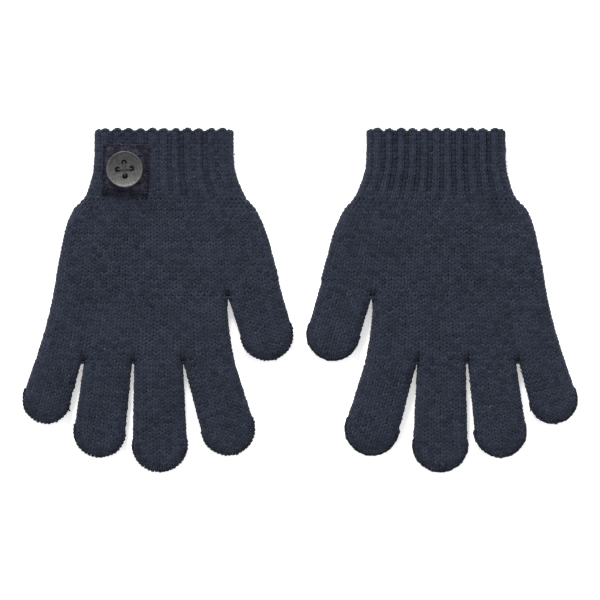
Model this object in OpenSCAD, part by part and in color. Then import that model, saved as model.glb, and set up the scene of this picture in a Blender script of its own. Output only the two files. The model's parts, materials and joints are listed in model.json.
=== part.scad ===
/* [Gloves] */
// Fabric thickness of the knit
wall = 1.4; // [1:0.1:1.8]
// Height of a finger that lies relaxed
finger_t = 8; // [7.5:0.1:9]
// Height of the hand that lies relaxed
hand_t = 9; // [8.5:0.1:10]
// Gap between two knitted sections that fold against each other
fold_gap = 0.2; // [0.2:0.05:0.5]

/* [Cuff] */
// Distance from the pair's middle line to the middle of a cuff
cuff_x = 57; // [56:0.1:58]
// Height of the cuff over its ribs
cuff_t = 10; // [9.5:0.1:11]
// Width of the cuff at its edge
cuff_w = 58.8; // [56:0.1:60]
// Width of the cuff where it meets the hand
wrist_w = 70; // [66:0.5:72]
// Place of the wrist line along the glove
wrist_y = 42.2; // [41:0.1:43]
// Place where the straight part of the cuff starts to widen
flare_y = 55; // [52:0.5:58]
// Place where the ribbing ends and the cast-off edge starts
edge_y = 70; // [69:0.1:70.5]
// Length of the cast-off edge
edge_l = 2.2; // [1.8:0.1:3]
// Depth of the scallops between two ribs
scallop = 0.9; // [0.5:0.1:1.2]
// Ribs round the cuff
ribs = 26; // [22:1:30]
// How far a rib stands out of the knit
rib_h = 0.6; // [0.4:0.05:0.7]
// Rows of elastic yarn in the cuff
elastic_rows = 4; // [2:1:4]
// Distance between two rows of elastic yarn
elastic_pitch = 2.5; // [1.5:0.1:2.6]
// Thickness of the elastic yarn
elastic_d = 0.5; // [0.4:0.05:0.6]

/* [Hand] */
// Edges of the hand at the wrist, thumb side then outer side
wrist_edges = [21.8, 92]; // [10:0.1:110]
// Thumb-side corner of the heel of the hand
heel_in = [16, 33.6]; // [5:0.1:60]
// Outer corner of the heel of the hand
heel_out = [97.4, 33]; // [5:0.1:110]
// Where the thumb leaves the hand on its outer side
thumb_out = [8.6, 8]; // [5:0.1:60]
// The crotch between the thumb and the hand
thumb_crotch = [30.2, 1.7]; // [0:0.1:60]
// Outer edge of the hand level with the thumb's crotch
side_out = 103.6; // [100:0.1:106]
// Place of the line across the roots of the four fingers
knuckle_y = -26.5; // [-28:0.1:-25]
// Edges of the hand at the knuckle line, thumb side then outer side
knuckle_edges = [27.4, 111.4]; // [20:0.1:115]

/* [Thumb and fingers] */
// Middle of the thumb's root, then its half width there
thumb_root = [19.4, 4.8, 10.8]; // [-30:0.1:110]
// Middle of the thumb's round tip, then its radius
thumb_tip = [13.9, -14.3, 10.6]; // [-70:0.1:110]
// Middle of the index finger's root, then its half width there
index_root = [37.9, -26.5, 10]; // [-30:0.1:110]
// Middle of the index finger's round tip, then its radius
index_tip = [30.2, -53.8, 10.9]; // [-70:0.1:110]
// Middle of the middle finger's root, then its half width there
middle_root = [59.3, -26.5, 10.2]; // [-30:0.1:110]
// Middle of the middle finger's round tip, then its radius
middle_tip = [58.8, -60.5, 11.3]; // [-70:0.1:110]
// Middle of the ring finger's root, then its half width there
ring_root = [80.5, -26.5, 10]; // [-30:0.1:110]
// Middle of the ring finger's round tip, then its radius
ring_tip = [84, -55, 10.5]; // [-70:0.1:110]
// Middle of the little finger's root, then its half width there
little_root = [101.6, -26.5, 9.4]; // [-30:0.1:110]
// Middle of the little finger's round tip, then its radius
little_tip = [106.2, -41.6, 9.7]; // [-70:0.1:110]
// Thickness of the yarn that closes a tip
seam_d = 1.2; // [0.8:0.1:1.4]
// How far the tip yarn stands out of the knit
seam_proud = 0.4; // [0.2:0.05:0.5]
// Thickness of the yarn tie in a crotch
tie_d = 1.8; // [1.2:0.1:2]

/* [Patch and button] */
// Middle of the patch and the button
button_at = [73.3, 54.7]; // [40:0.1:90]
// Width and length of the felt patch
patch_size = [19, 20.4]; // [17:0.1:22]
// Turn of the patch on the cuff
patch_turn = 1.5; // [0:0.5:3]
// Thickness of the felt
patch_t = 1; // [0.8:0.1:1.4]
// Diameter of the button
button_d = 15.2; // [15.2:0.1:18]
// Thickness of the button at its rim
button_t = 2.6; // [2.4:0.1:3]
// Gap between the button and the patch
button_gap = 0.3; // [0.3:0.05:0.5]
// Distance of a sewing hole from the button's middle
hole_at = 2.9; // [2.7:0.1:3.2]
// Diameter of a sewing hole
hole_d = 2; // [1.8:0.1:2.2]
// Thickness of the button thread
thread_d = 0.8; // [0.6:0.05:0.9]

/* [Hidden] */

NAVY = [0.2, 0.22, 0.27];
DEEP_NAVY = [0.15, 0.16, 0.21];
FELT_BLACK = [0.09, 0.09, 0.12];
GUNMETAL = [0.42, 0.42, 0.41];

disc_fn = 32;
rim_fn = 16;
huge = 400;
rib_wave = [0, 1, 1, 0];
ring_points = len(rib_wave) * ribs;
knit_t = cuff_t - 2 * rib_h;
cavity_t = knit_t - 2 * wall;
cuff_rings = [wrist_y + fold_gap, 46, 50, flare_y, edge_y];
flare_power = 1.6;
corner_r = hand_t / 2 + 1;
past_cut = 6;
behind_root = 0.35;
button_z = cuff_t + patch_t + button_gap;
button_edge = 1;
dish_depth = 0.7;
rim_w = 1.3;
rim_slope = 0.9;
touch = 0.05;
first_elastic = 2.5;
tie_inset = 1.4;
knot_d = 8;
knot_t = 0.6;

// Turn of a digit on the glove, from straight down the glove
function digit_turn(root, tip) = atan2(tip[0] - root[0], root[1] - tip[1]);

thumb_turn = digit_turn(thumb_root, thumb_tip);

// Width of the cuff over its ribs at a place along the glove
function cuff_width(y) = y > flare_y ? cuff_w
    : cuff_w + (wrist_w - cuff_w) * pow((flare_y - y) / (flare_y - wrist_y), flare_power);

function slot_length(w, t) = 2 * (w - t) + PI * t;

// Point at the distance d round a flat slot of width w and height t, counted from the middle of its top
function slot_point(d, w, t) =
    let (run = w - t, arc = PI * t / 2, degrees = 360 / (PI * t))
    d < run / 2 ? [d, t / 2]
    : d < run / 2 + arc ?
        let (a = (d - run / 2) * degrees)
        [run / 2 + t / 2 * sin(a), t / 2 * cos(a)]
    : d < 1.5 * run + arc ? [run + arc - d, -t / 2]
    : d < 1.5 * run + 2 * arc ?
        let (a = (d - 1.5 * run - arc) * degrees)
        [-run / 2 - t / 2 * sin(a), -t / 2 * cos(a)]
    : [d - 2 * run - 2 * arc, t / 2];

// One closed ring of points round the cuff: h is how far its ribs stand out, drop how deep its scallops are
function cuff_ring(y, w, t, h, drop) = [
    for (i = [0:ring_points - 1])
        let (
            out = 2 * h * rib_wave[i % len(rib_wave)],
            part = (i + 0.5) / ring_points,
            p = slot_point(part * slot_length(w + out, t + out), w + out, t + out)
        )
        [cuff_x + p[0], y - drop * (1 - rib_wave[i % len(rib_wave)]), cuff_t / 2 + p[1]]
];

// Quads between the rings numbered a and b
function band(a, b) = [
    for (i = [0:ring_points - 1])
        let (j = (i + 1) % ring_points)
        [a * ring_points + i, b * ring_points + i, b * ring_points + j, a * ring_points + j]
];

// A tube through the places ys, ribbed outside and smooth inside, whose last ring is scalloped by drop
module ribbed_tube(ys, drop) {
    last = len(ys) - 1;
    outer = [
        for (k = [0:last])
            cuff_ring(ys[k], cuff_width(ys[k]) - 2 * rib_h, knit_t, rib_h, k == last ? drop : 0)
    ];
    inner = [
        for (k = [0:last])
            cuff_ring(ys[k], cuff_width(ys[k]) - 2 * (rib_h + wall), cavity_t, 0, k == last ? drop : 0)
    ];
    polyhedron(
        points = [for (ring = concat(outer, inner)) each ring],
        faces = concat(
            [for (k = [0:last - 1]) each band(k, k + 1)],
            [for (k = [0:last - 1]) each band(last + k + 2, last + k + 1)],
            band(last + 1, 0),
            band(last, 2 * last + 1)
        )
    );
}

module slot(w, t) {
    square([w - t, t], center = true);
    for (side = [-1, 1])
        translate([side * (w - t) / 2, 0])
            circle(d = t, $fn = disc_fn);
}

// A row of elastic yarn that lies round the inside of a slot w wide and t high
module elastic_ring(y, w, t) {
    translate([cuff_x, y + elastic_d / 2, cuff_t / 2])
        rotate([90, 0, 0])
            linear_extrude(elastic_d)
                difference() {
                    slot(w, t);
                    slot(w - 2 * elastic_d, t - 2 * elastic_d);
                }
}

// A disc of radius r and height t with a round rim
module pad(at, r, t, z) {
    translate([at[0], at[1], z])
        rotate_extrude($fn = disc_fn)
            intersection() {
                translate([r - t / 2, 0])
                    circle(d = t, $fn = rim_fn);
                translate([0, -t / 2])
                    square([r, t]);
            }
}

// Everything on the side of +Y of a line through a point, turned by turn
module half_space(at, turn) {
    translate([at[0], at[1], 0])
        rotate([0, 0, turn])
            translate([-huge / 2, 0, -huge / 2])
                cube(huge);
}

// A knitted tube with a closed round tip, cut open at its root along the line turned by root_turn
module digit(root, tip, root_turn = 0) {
    start = [root[0], root[1]] + behind_root * [root[0] - tip[0], root[1] - tip[1]];
    difference() {
        hull() {
            pad(start, root[2], finger_t, finger_t / 2);
            pad(tip, tip[2], finger_t, finger_t / 2);
        }
        hull() {
            pad(start, root[2] - wall, finger_t - 2 * wall, finger_t / 2);
            pad(tip, tip[2] - wall, finger_t - 2 * wall, finger_t / 2);
        }
        half_space([root[0], root[1] - fold_gap], root_turn);
    }
}

// The yarn that closes a tip, laid half way round it
module tip_seam(root, tip) {
    translate([tip[0], tip[1], finger_t / 2])
        rotate([0, 0, digit_turn(root, tip) + 180])
            rotate_extrude(angle = 180, $fn = 2 * disc_fn)
                translate([tip[2] + seam_proud - seam_d / 2, 0])
                    circle(d = seam_d, $fn = rim_fn);
}

// Middles of the two discs inside the straight edge from a to b, moved past its ends; the hand is on its left
function along_edge(a, b, before, past) =
    let (d = (b - a) / norm(b - a), inward = corner_r * [-d[1], d[0]])
    [a - before * d + inward, b + past * d + inward];

// A rounded shell of the hand's height, open wherever it is cut afterwards
module hand_shell(places) {
    difference() {
        hull()
            for (p = places)
                pad(p, corner_r, hand_t, hand_t / 2);
        hull()
            for (p = places)
                pad(p, corner_r - wall, hand_t - 2 * wall, hand_t / 2);
    }
}

// The hand from the wrist to the thumb's crotch, with the root of the thumb
module lower_palm() {
    wrist_in = [wrist_edges[0], wrist_y];
    wrist_out = [wrist_edges[1], wrist_y];
    side = [side_out, thumb_crotch[1]];
    places = concat(
        along_edge(wrist_in, heel_in, past_cut, 0),
        along_edge(heel_in, thumb_out, 0, past_cut),
        along_edge(side, heel_out, past_cut, 0),
        along_edge(heel_out, wrist_out, 0, past_cut),
        [thumb_crotch - [0, past_cut]]
    );
    difference() {
        hand_shell(places);
        half_space(wrist_in, 0);
        half_space(thumb_crotch, 180 + thumb_turn);
        translate([thumb_crotch[0], thumb_crotch[1] - huge, -huge / 2])
            cube(huge);
    }
}

// The hand from the thumb's crotch to the roots of the four fingers
module upper_palm() {
    side = [side_out, thumb_crotch[1]];
    knuckle_in = [knuckle_edges[0], knuckle_y];
    knuckle_out = [knuckle_edges[1], knuckle_y];
    places = concat(
        along_edge(thumb_crotch, knuckle_in, past_cut, past_cut),
        along_edge(knuckle_out, side, past_cut, past_cut)
    );
    difference() {
        hand_shell(places);
        half_space(thumb_crotch, 0);
        half_space(knuckle_in, 180);
    }
}

module cuff() {
    ribbed_tube(cuff_rings, 0);
}

module cuff_edge() {
    ribbed_tube([edge_y, edge_y + edge_l], scallop);
}

module cuff_elastic() {
    for (k = [0:elastic_rows - 1])
        elastic_ring(edge_y - first_elastic - k * elastic_pitch,
            cuff_w - 2 * (rib_h + wall + touch), cavity_t - 2 * touch);
}

// Short ties of yarn between the two layers, one in each crotch
module crotch_ties() {
    roots = [index_root, middle_root, ring_root, little_root];
    places = concat(
        [
            for (k = [0:len(roots) - 2])
                let (a = roots[k], b = roots[k + 1])
                [(a[0] + a[2] + b[0] - b[2]) / 2, knuckle_y + tie_inset]
        ],
        [thumb_crotch + tie_inset * [1, 1]]
    );
    for (p = places)
        translate([p[0], p[1], wall])
            cylinder(d = tie_d, h = hand_t - 2 * wall, $fn = disc_fn);
}

module felt_patch() {
    translate([button_at[0], button_at[1], cuff_t])
        rotate([0, 0, patch_turn])
            translate([-patch_size[0] / 2, -patch_size[1] / 2, 0])
                cube([patch_size[0], patch_size[1], patch_t]);
}

// Draws its children at each of the four sewing holes
module at_holes() {
    for (k = [0:3])
        rotate([0, 0, 90 * k])
            translate([hole_at, 0, 0])
                children();
}

module four_hole_button() {
    r = button_d / 2;
    translate([button_at[0], button_at[1], button_z])
        difference() {
            rotate_extrude($fn = 96)
                polygon([
                    [0, 0],
                    [r - button_edge, 0],
                    [r, button_edge],
                    [r, button_t - button_edge / 2],
                    [r - button_edge / 2, button_t],
                    [r - rim_w, button_t],
                    [r - rim_w - rim_slope, button_t - dish_depth],
                    [0, button_t - dish_depth]
                ]);
            at_holes()
                translate([0, 0, -1])
                    cylinder(d = hole_d, h = button_t + 2, $fn = 48);
        }
}

// Four strands through the cuff, the patch and the button, crossed over the button and knotted in the cuff
module sewing_thread() {
    top = button_z + button_t - dish_depth + touch + thread_d / 2;
    inside = cuff_t - rib_h - wall;
    translate([button_at[0], button_at[1], 0]) {
        at_holes()
            translate([0, 0, inside - knot_t / 2])
                cylinder(d = thread_d, h = top - inside + knot_t / 2, $fn = 24);
        for (turn = [0, 90])
            rotate([0, 0, turn])
                translate([0, 0, top])
                    rotate([0, 90, 0])
                        cylinder(d = thread_d, h = 2 * hole_at + thread_d, center = true, $fn = 24);
        translate([0, 0, inside - knot_t])
            cylinder(d = knot_d, h = knot_t, $fn = 48);
    }
}

// The right-hand glove is the left-hand glove turned over in a mirror
module right_glove() {
    mirror([1, 0, 0])
        children();
}

module right_cuff_edge() { color(NAVY) right_glove() cuff_edge(); }
module right_cuff() { color(NAVY) right_glove() cuff(); }
module right_cuff_elastic() { color(DEEP_NAVY) right_glove() cuff_elastic(); }
module right_lower_palm() { color(NAVY) right_glove() lower_palm(); }
module right_upper_palm() { color(NAVY) right_glove() upper_palm(); }
module right_thumb() { color(NAVY) right_glove() digit(thumb_root, thumb_tip, thumb_turn); }
module right_index() { color(NAVY) right_glove() digit(index_root, index_tip); }
module right_middle() { color(NAVY) right_glove() digit(middle_root, middle_tip); }
module right_ring() { color(NAVY) right_glove() digit(ring_root, ring_tip); }
module right_little() { color(NAVY) right_glove() digit(little_root, little_tip); }
module right_thumb_seam() { color(DEEP_NAVY) right_glove() tip_seam(thumb_root, thumb_tip); }
module right_index_seam() { color(DEEP_NAVY) right_glove() tip_seam(index_root, index_tip); }
module right_middle_seam() { color(DEEP_NAVY) right_glove() tip_seam(middle_root, middle_tip); }
module right_ring_seam() { color(DEEP_NAVY) right_glove() tip_seam(ring_root, ring_tip); }
module right_little_seam() { color(DEEP_NAVY) right_glove() tip_seam(little_root, little_tip); }
module right_crotch_ties() { color(DEEP_NAVY) right_glove() crotch_ties(); }
module left_cuff_edge() { color(NAVY) cuff_edge(); }
module left_cuff() { color(NAVY) cuff(); }
module left_cuff_elastic() { color(DEEP_NAVY) cuff_elastic(); }
module left_lower_palm() { color(NAVY) lower_palm(); }
module left_upper_palm() { color(NAVY) upper_palm(); }
module left_thumb() { color(NAVY) digit(thumb_root, thumb_tip, thumb_turn); }
module left_index() { color(NAVY) digit(index_root, index_tip); }
module left_middle() { color(NAVY) digit(middle_root, middle_tip); }
module left_ring() { color(NAVY) digit(ring_root, ring_tip); }
module left_little() { color(NAVY) digit(little_root, little_tip); }
module left_thumb_seam() { color(DEEP_NAVY) tip_seam(thumb_root, thumb_tip); }
module left_index_seam() { color(DEEP_NAVY) tip_seam(index_root, index_tip); }
module left_middle_seam() { color(DEEP_NAVY) tip_seam(middle_root, middle_tip); }
module left_ring_seam() { color(DEEP_NAVY) tip_seam(ring_root, ring_tip); }
module left_little_seam() { color(DEEP_NAVY) tip_seam(little_root, little_tip); }
module left_crotch_ties() { color(DEEP_NAVY) crotch_ties(); }
module patch() { color(FELT_BLACK) right_glove() felt_patch(); }
module button() { color(GUNMETAL) right_glove() four_hole_button(); }
module button_thread() { color(GUNMETAL) right_glove() sewing_thread(); }

right_cuff_edge();
right_cuff();
right_cuff_elastic();
right_lower_palm();
right_upper_palm();
right_thumb();
right_index();
right_middle();
right_ring();
right_little();
right_thumb_seam();
right_index_seam();
right_middle_seam();
right_ring_seam();
right_little_seam();
right_crotch_ties();
left_cuff_edge();
left_cuff();
left_cuff_elastic();
left_lower_palm();
left_upper_palm();
left_thumb();
left_index();
left_middle();
left_ring();
left_little();
left_thumb_seam();
left_index_seam();
left_middle_seam();
left_ring_seam();
left_little_seam();
left_crotch_ties();
patch();
button();
button_thread();
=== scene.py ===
"""A pair of machine-knitted gloves with ribbed cuffs, a felt patch and a metal button.

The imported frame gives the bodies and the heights. Each glove is one knitted surface, worked out from the
outline of a glove that lies flat, and cut into the sections that the machine knits. Geometry Nodes set a
yarn stitch on every place of the knit.
"""
from __future__ import annotations

import json
import logging
import math
from collections.abc import Callable
from dataclasses import dataclass, field
from enum import Enum
from functools import partial

import bpy
import numpy as np
from bpy.types import Material, Node, NodeSocket, NodeTree, Object
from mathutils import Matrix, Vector

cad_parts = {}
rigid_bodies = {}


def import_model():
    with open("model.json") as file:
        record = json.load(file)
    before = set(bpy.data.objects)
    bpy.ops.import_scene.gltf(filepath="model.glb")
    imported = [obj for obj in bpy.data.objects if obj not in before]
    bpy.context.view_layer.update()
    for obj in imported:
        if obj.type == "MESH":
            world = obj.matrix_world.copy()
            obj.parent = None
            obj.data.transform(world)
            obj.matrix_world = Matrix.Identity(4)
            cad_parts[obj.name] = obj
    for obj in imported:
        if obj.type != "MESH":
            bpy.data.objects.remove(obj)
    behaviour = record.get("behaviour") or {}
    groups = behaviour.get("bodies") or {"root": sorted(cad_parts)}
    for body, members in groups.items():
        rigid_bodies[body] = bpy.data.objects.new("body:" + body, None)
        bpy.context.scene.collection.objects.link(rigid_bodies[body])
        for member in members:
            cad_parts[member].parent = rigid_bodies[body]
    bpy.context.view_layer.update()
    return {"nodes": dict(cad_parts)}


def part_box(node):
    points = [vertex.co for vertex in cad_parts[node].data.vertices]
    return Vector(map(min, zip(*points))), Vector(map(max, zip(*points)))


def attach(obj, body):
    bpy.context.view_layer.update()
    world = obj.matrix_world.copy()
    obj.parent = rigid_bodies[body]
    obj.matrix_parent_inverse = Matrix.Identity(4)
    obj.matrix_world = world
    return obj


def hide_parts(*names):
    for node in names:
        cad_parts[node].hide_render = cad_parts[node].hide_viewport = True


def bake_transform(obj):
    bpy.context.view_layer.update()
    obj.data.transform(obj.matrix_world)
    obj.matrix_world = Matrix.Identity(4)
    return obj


LOG = logging.getLogger("gloves")
MM = 0.001
SEED = 100
Array = np.ndarray
Colour = tuple[float, float, float]
Faces = list[tuple[int, ...]]
Shape = tuple[Array, Faces, Array]
Keep = Callable[[Array], Array]


class Hand(Enum):
    """Which glove of the pair a piece belongs to; the value is the side of the pair's middle line."""

    RIGHT = -1
    LEFT = 1

    @property
    def prefix(self) -> str:
        """Start of the names of the glove's nodes."""
        return "right" if self is Hand.RIGHT else "left"


class Face(Enum):
    """Which face of a flat glove a stitch lies on; the value is the sign of its outward direction along Z."""

    TOP = 1
    UNDER = -1


class Stitch(Enum):
    """The yarn shapes that the knit is made of, numbered as the node tree picks them."""

    KNIT = 0
    PURL = 1
    LOOP = 2
    FIBRE = 3


# ---------------------------------------------------------------- sizes


@dataclass(frozen=True)
class Gauge:
    """Sizes of the knit, in mm, and how much one stitch differs from the next."""

    course: float = 1.6
    depth: float = 1.25
    sink: float = 1.0
    fabric: float = 0.8
    wander: float = 0.07
    rise: float = 0.6
    shade: float = 0.5
    shade_spread: float = 0.28
    fuzz: float = 0.35
    fuzz_above: float = 2.0
    fibre_width: float = 0.055
    fibre_length: tuple[float, float] = (0.5, 1.5)
    fibre_lean: float = 0.55
    fibre_root: float = 0.3


@dataclass(frozen=True)
class Ribbing:
    """The cuff's ribs: places and widths in shares of a rib, tones in shares of the channels' depth in mm. The tones
    are painted light on the knit of the ribs and painted shade on the purl in the channels.
    """

    knit_off: float = 0.155
    knit_width: float = 0.33
    purl_width: float = 0.46
    knit_tone: float = 0.16
    purl_tone: float = -0.42
    channel: tuple[float, float] = (0.06, 0.42)
    fold: tuple[float, float] = (0.04, 0.5)
    fold_depth: float = 0.8
    fold_fade: tuple[float, float] = (37, 44)
    least: float = 0.75
    wave: float = 2.3
    by_the_edge: float = 0.35


@dataclass(frozen=True)
class CastOff:
    """The scalloped chain of loops on the cuff's edge; its corners are where the two faces meet.

    Sizes are in mm, and places along the edge in shares of a rib. Each corner value is added at a corner.
    """

    below_top: float = 0.55
    courses: tuple[float, float] = (0.3, 1.1)
    first: float = 0.04
    step: float = 0.2
    width: float = 0.30
    length: float = 2.0
    depth: float = 1.4
    corner_length: float = -0.8
    corner_depth: float = -0.3
    inset: float = 0.45
    corner_inset: float = 0.55
    tilt: float = 0.75
    corner_tilt: float = 1.5
    corner_fade: tuple[float, float] = (0.2, 1.2)
    dip: float = 1.45
    dip_power: float = 1.5
    dip_fade: tuple[float, float] = (0.3, 1.4)
    corner_dip: float = 1.2
    uneven: float = 0.14
    shell_rise: float = 0.7
    shell_end: float = 0.35


@dataclass(frozen=True)
class TipSeam:
    """The loops that close a fingertip, in mm and degrees; ranges are of width, length and depth."""

    spread: int = 96
    pitch: float = 1.5
    out: float = 0.16
    lean: float = 0.25
    wander: float = 0.07
    height: tuple[float, float] = (0.1, 0.35)
    rise: tuple[float, float] = (0.1, 0.08)
    width: tuple[float, float] = (4.4, 5.0)
    length: tuple[float, float] = (1.75, 2.1)
    depth: tuple[float, float] = (1.15, 1.45)
    edge_levels: tuple[float, ...] = (-0.5, 0.0, 0.5)
    edge_size: tuple[float, float] = (1.5, 1.9)
    edge_turn: float = 1.1


@dataclass(frozen=True)
class Digit:
    """A thumb or finger of the glove on the +X side: root and tip are x, y and half width or radius, in mm."""

    name: str
    root: tuple[float, float, float]
    tip: tuple[float, float, float]
    square_root: bool = True

    @property
    def axis(self) -> Array:
        """Unit direction from root to tip."""
        d = np.subtract(self.tip[:2], self.root[:2])
        return d / np.linalg.norm(d)

    @property
    def across(self) -> Array:
        """Unit direction across the digit, towards the outer side of the hand."""
        d = self.axis
        return np.array([-d[1], d[0]])

    @property
    def length(self) -> float:
        """Distance from the middle of the root to the middle of the round tip."""
        return float(np.linalg.norm(np.subtract(self.tip[:2], self.root[:2])))

    def at(self, s: float | Array, p: float | Array) -> Array:
        """Places, as x and y, that are s along the digit from its root and p across it."""
        s, p = np.broadcast_arrays(np.asarray(s, float), np.asarray(p, float))
        return np.array(self.root[:2]) + s[..., None] * self.axis + p[..., None] * self.across

    def root_line(self, p: float | Array) -> float | Array:
        """Distance along the digit at which its root is cut, at p across it."""
        return -p * self.across[1] / self.axis[1] if self.square_root else 0.0 * p

    def corner(self, side: int) -> Array:
        """End of the root line on one side, +1 outer or -1 inner."""
        p = side * self.root[2]
        return self.at(self.root_line(p), p)

    def tip_arc(self, steps: int = 24, grow: float = 0.0, spread: float = 90.0) -> Array:
        """Points round the tip from its outer to its inner side.

        Args:
            steps: Number of steps.
            grow: Added to the radius, in mm.
            spread: Angle that the arc reaches on each side of the digit's direction, in degrees.

        Returns:
            The points, as x and y.
        """
        a = np.radians(np.linspace(90 - spread, 90 + spread, steps + 1))
        r = self.tip[2] + grow
        return (np.array(self.tip[:2]) + r * np.cos(a)[:, None] * self.across
                + r * np.sin(a)[:, None] * self.axis)


@dataclass(frozen=True)
class GlovePlan:
    """Outline and heights of the glove on the +X side, in mm, seen from above with its fingers towards -Y."""

    centre_x: float = 57.0
    cuff_top: float = 72.2
    edge_y: float = 70.0
    wrist_y: float = 42.2
    knuckle_y: float = -26.5
    thumb_crotch: tuple[float, float] = (30.2, 1.7)
    outer_side: tuple[tuple[float, float], ...] = (
        (86.3, 72.2), (86.5, 58), (87.5, 51.5), (90.2, 43.5), (95, 38), (98.3, 30), (101.6, 14),
        (103.9, 0), (107.4, -14), (111.4, -26.5))
    palm_side: tuple[tuple[float, float], ...] = ((27.3, -26.5), (29.2, -16), (30.3, -6), (30.2, 1.7))
    heel_side: tuple[tuple[float, float], ...] = (
        (8.6, 8), (11.2, 18), (14.1, 28.5), (18.1, 37.5), (22.8, 43.5), (26.2, 51.5), (27.5, 58),
        (27.7, 72.2))
    digits: tuple[Digit, ...] = (
        Digit("thumb", (19.4, 4.8, 10.8), (13.9, -14.3, 10.8), square_root=False),
        Digit("index", (38.1, -26.5, 10.4), (30.2, -53.8, 11.1)),
        Digit("middle", (59.3, -26.5, 10.2), (58.8, -60.5, 11.4)),
        Digit("ring", (80.5, -26.5, 10.0), (84.0, -55.0, 10.7)),
        Digit("little", (101.6, -26.5, 9.4), (106.2, -41.6, 9.9)))
    heights: tuple[tuple[float, float], ...] = (
        (-73, 7.4), (-45, 7.9), (-20, 8.6), (10, 9.0), (36, 9.2), (46, 9.5), (73, 9.5))
    edge_round: float = 4.6
    crown_round: float = 13.0
    crown_share: float = 0.16
    ribs: int = 13
    rib_fade: tuple[float, float] = (40.5, 48.0)
    flat_ribs: tuple[float, float] = (0.6, 2.4)
    deepest: float = 1.1
    underside: float = 0.15
    lower_wales: int = 37
    upper_wales: int = 29
    digit_wales: int = 10

    def digit(self, name: str) -> Digit:
        """The digit of that name."""
        return next(d for d in self.digits if d.name == name)


# ---------------------------------------------------------------- the knitted surface


def everywhere(xy: Array) -> Array:
    """Keeps every place."""
    return np.ones(len(xy), bool)


def smooth_curve(points: tuple[tuple[float, float], ...], steps: int = 8) -> Array:
    """A smooth curve through points.

    Args:
        points: The points, as x and y.
        steps: Steps between two points.

    Returns:
        The curve's points.
    """
    p = np.array(points, float)
    p = np.vstack([2 * p[0] - p[1], p, 2 * p[-1] - p[-2]])
    out = []
    for a, b, c, d in zip(p, p[1:], p[2:], p[3:]):
        for t in np.arange(steps) / steps:
            out.append(0.5 * (2 * b + (c - a) * t + (2 * a - 5 * b + 4 * c - d) * t ** 2
                              + (3 * b - a - 3 * c + d) * t ** 3))
    return np.array(out + [p[-2]])


def bulge(q: Array) -> Array:
    """Height of a quarter circle, 0 at q 0 and 1 at q 1 and above."""
    q = np.clip(q, 0, 1)
    return np.sqrt(np.maximum(q * (2 - q), 0))


def smooth_step(x: Array, low: float, high: float) -> Array:
    """0 below low, 1 above high and smooth between them."""
    t = np.clip((x - low) / (high - low), 0, 1)
    return t * t * (3 - 2 * t)


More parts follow.
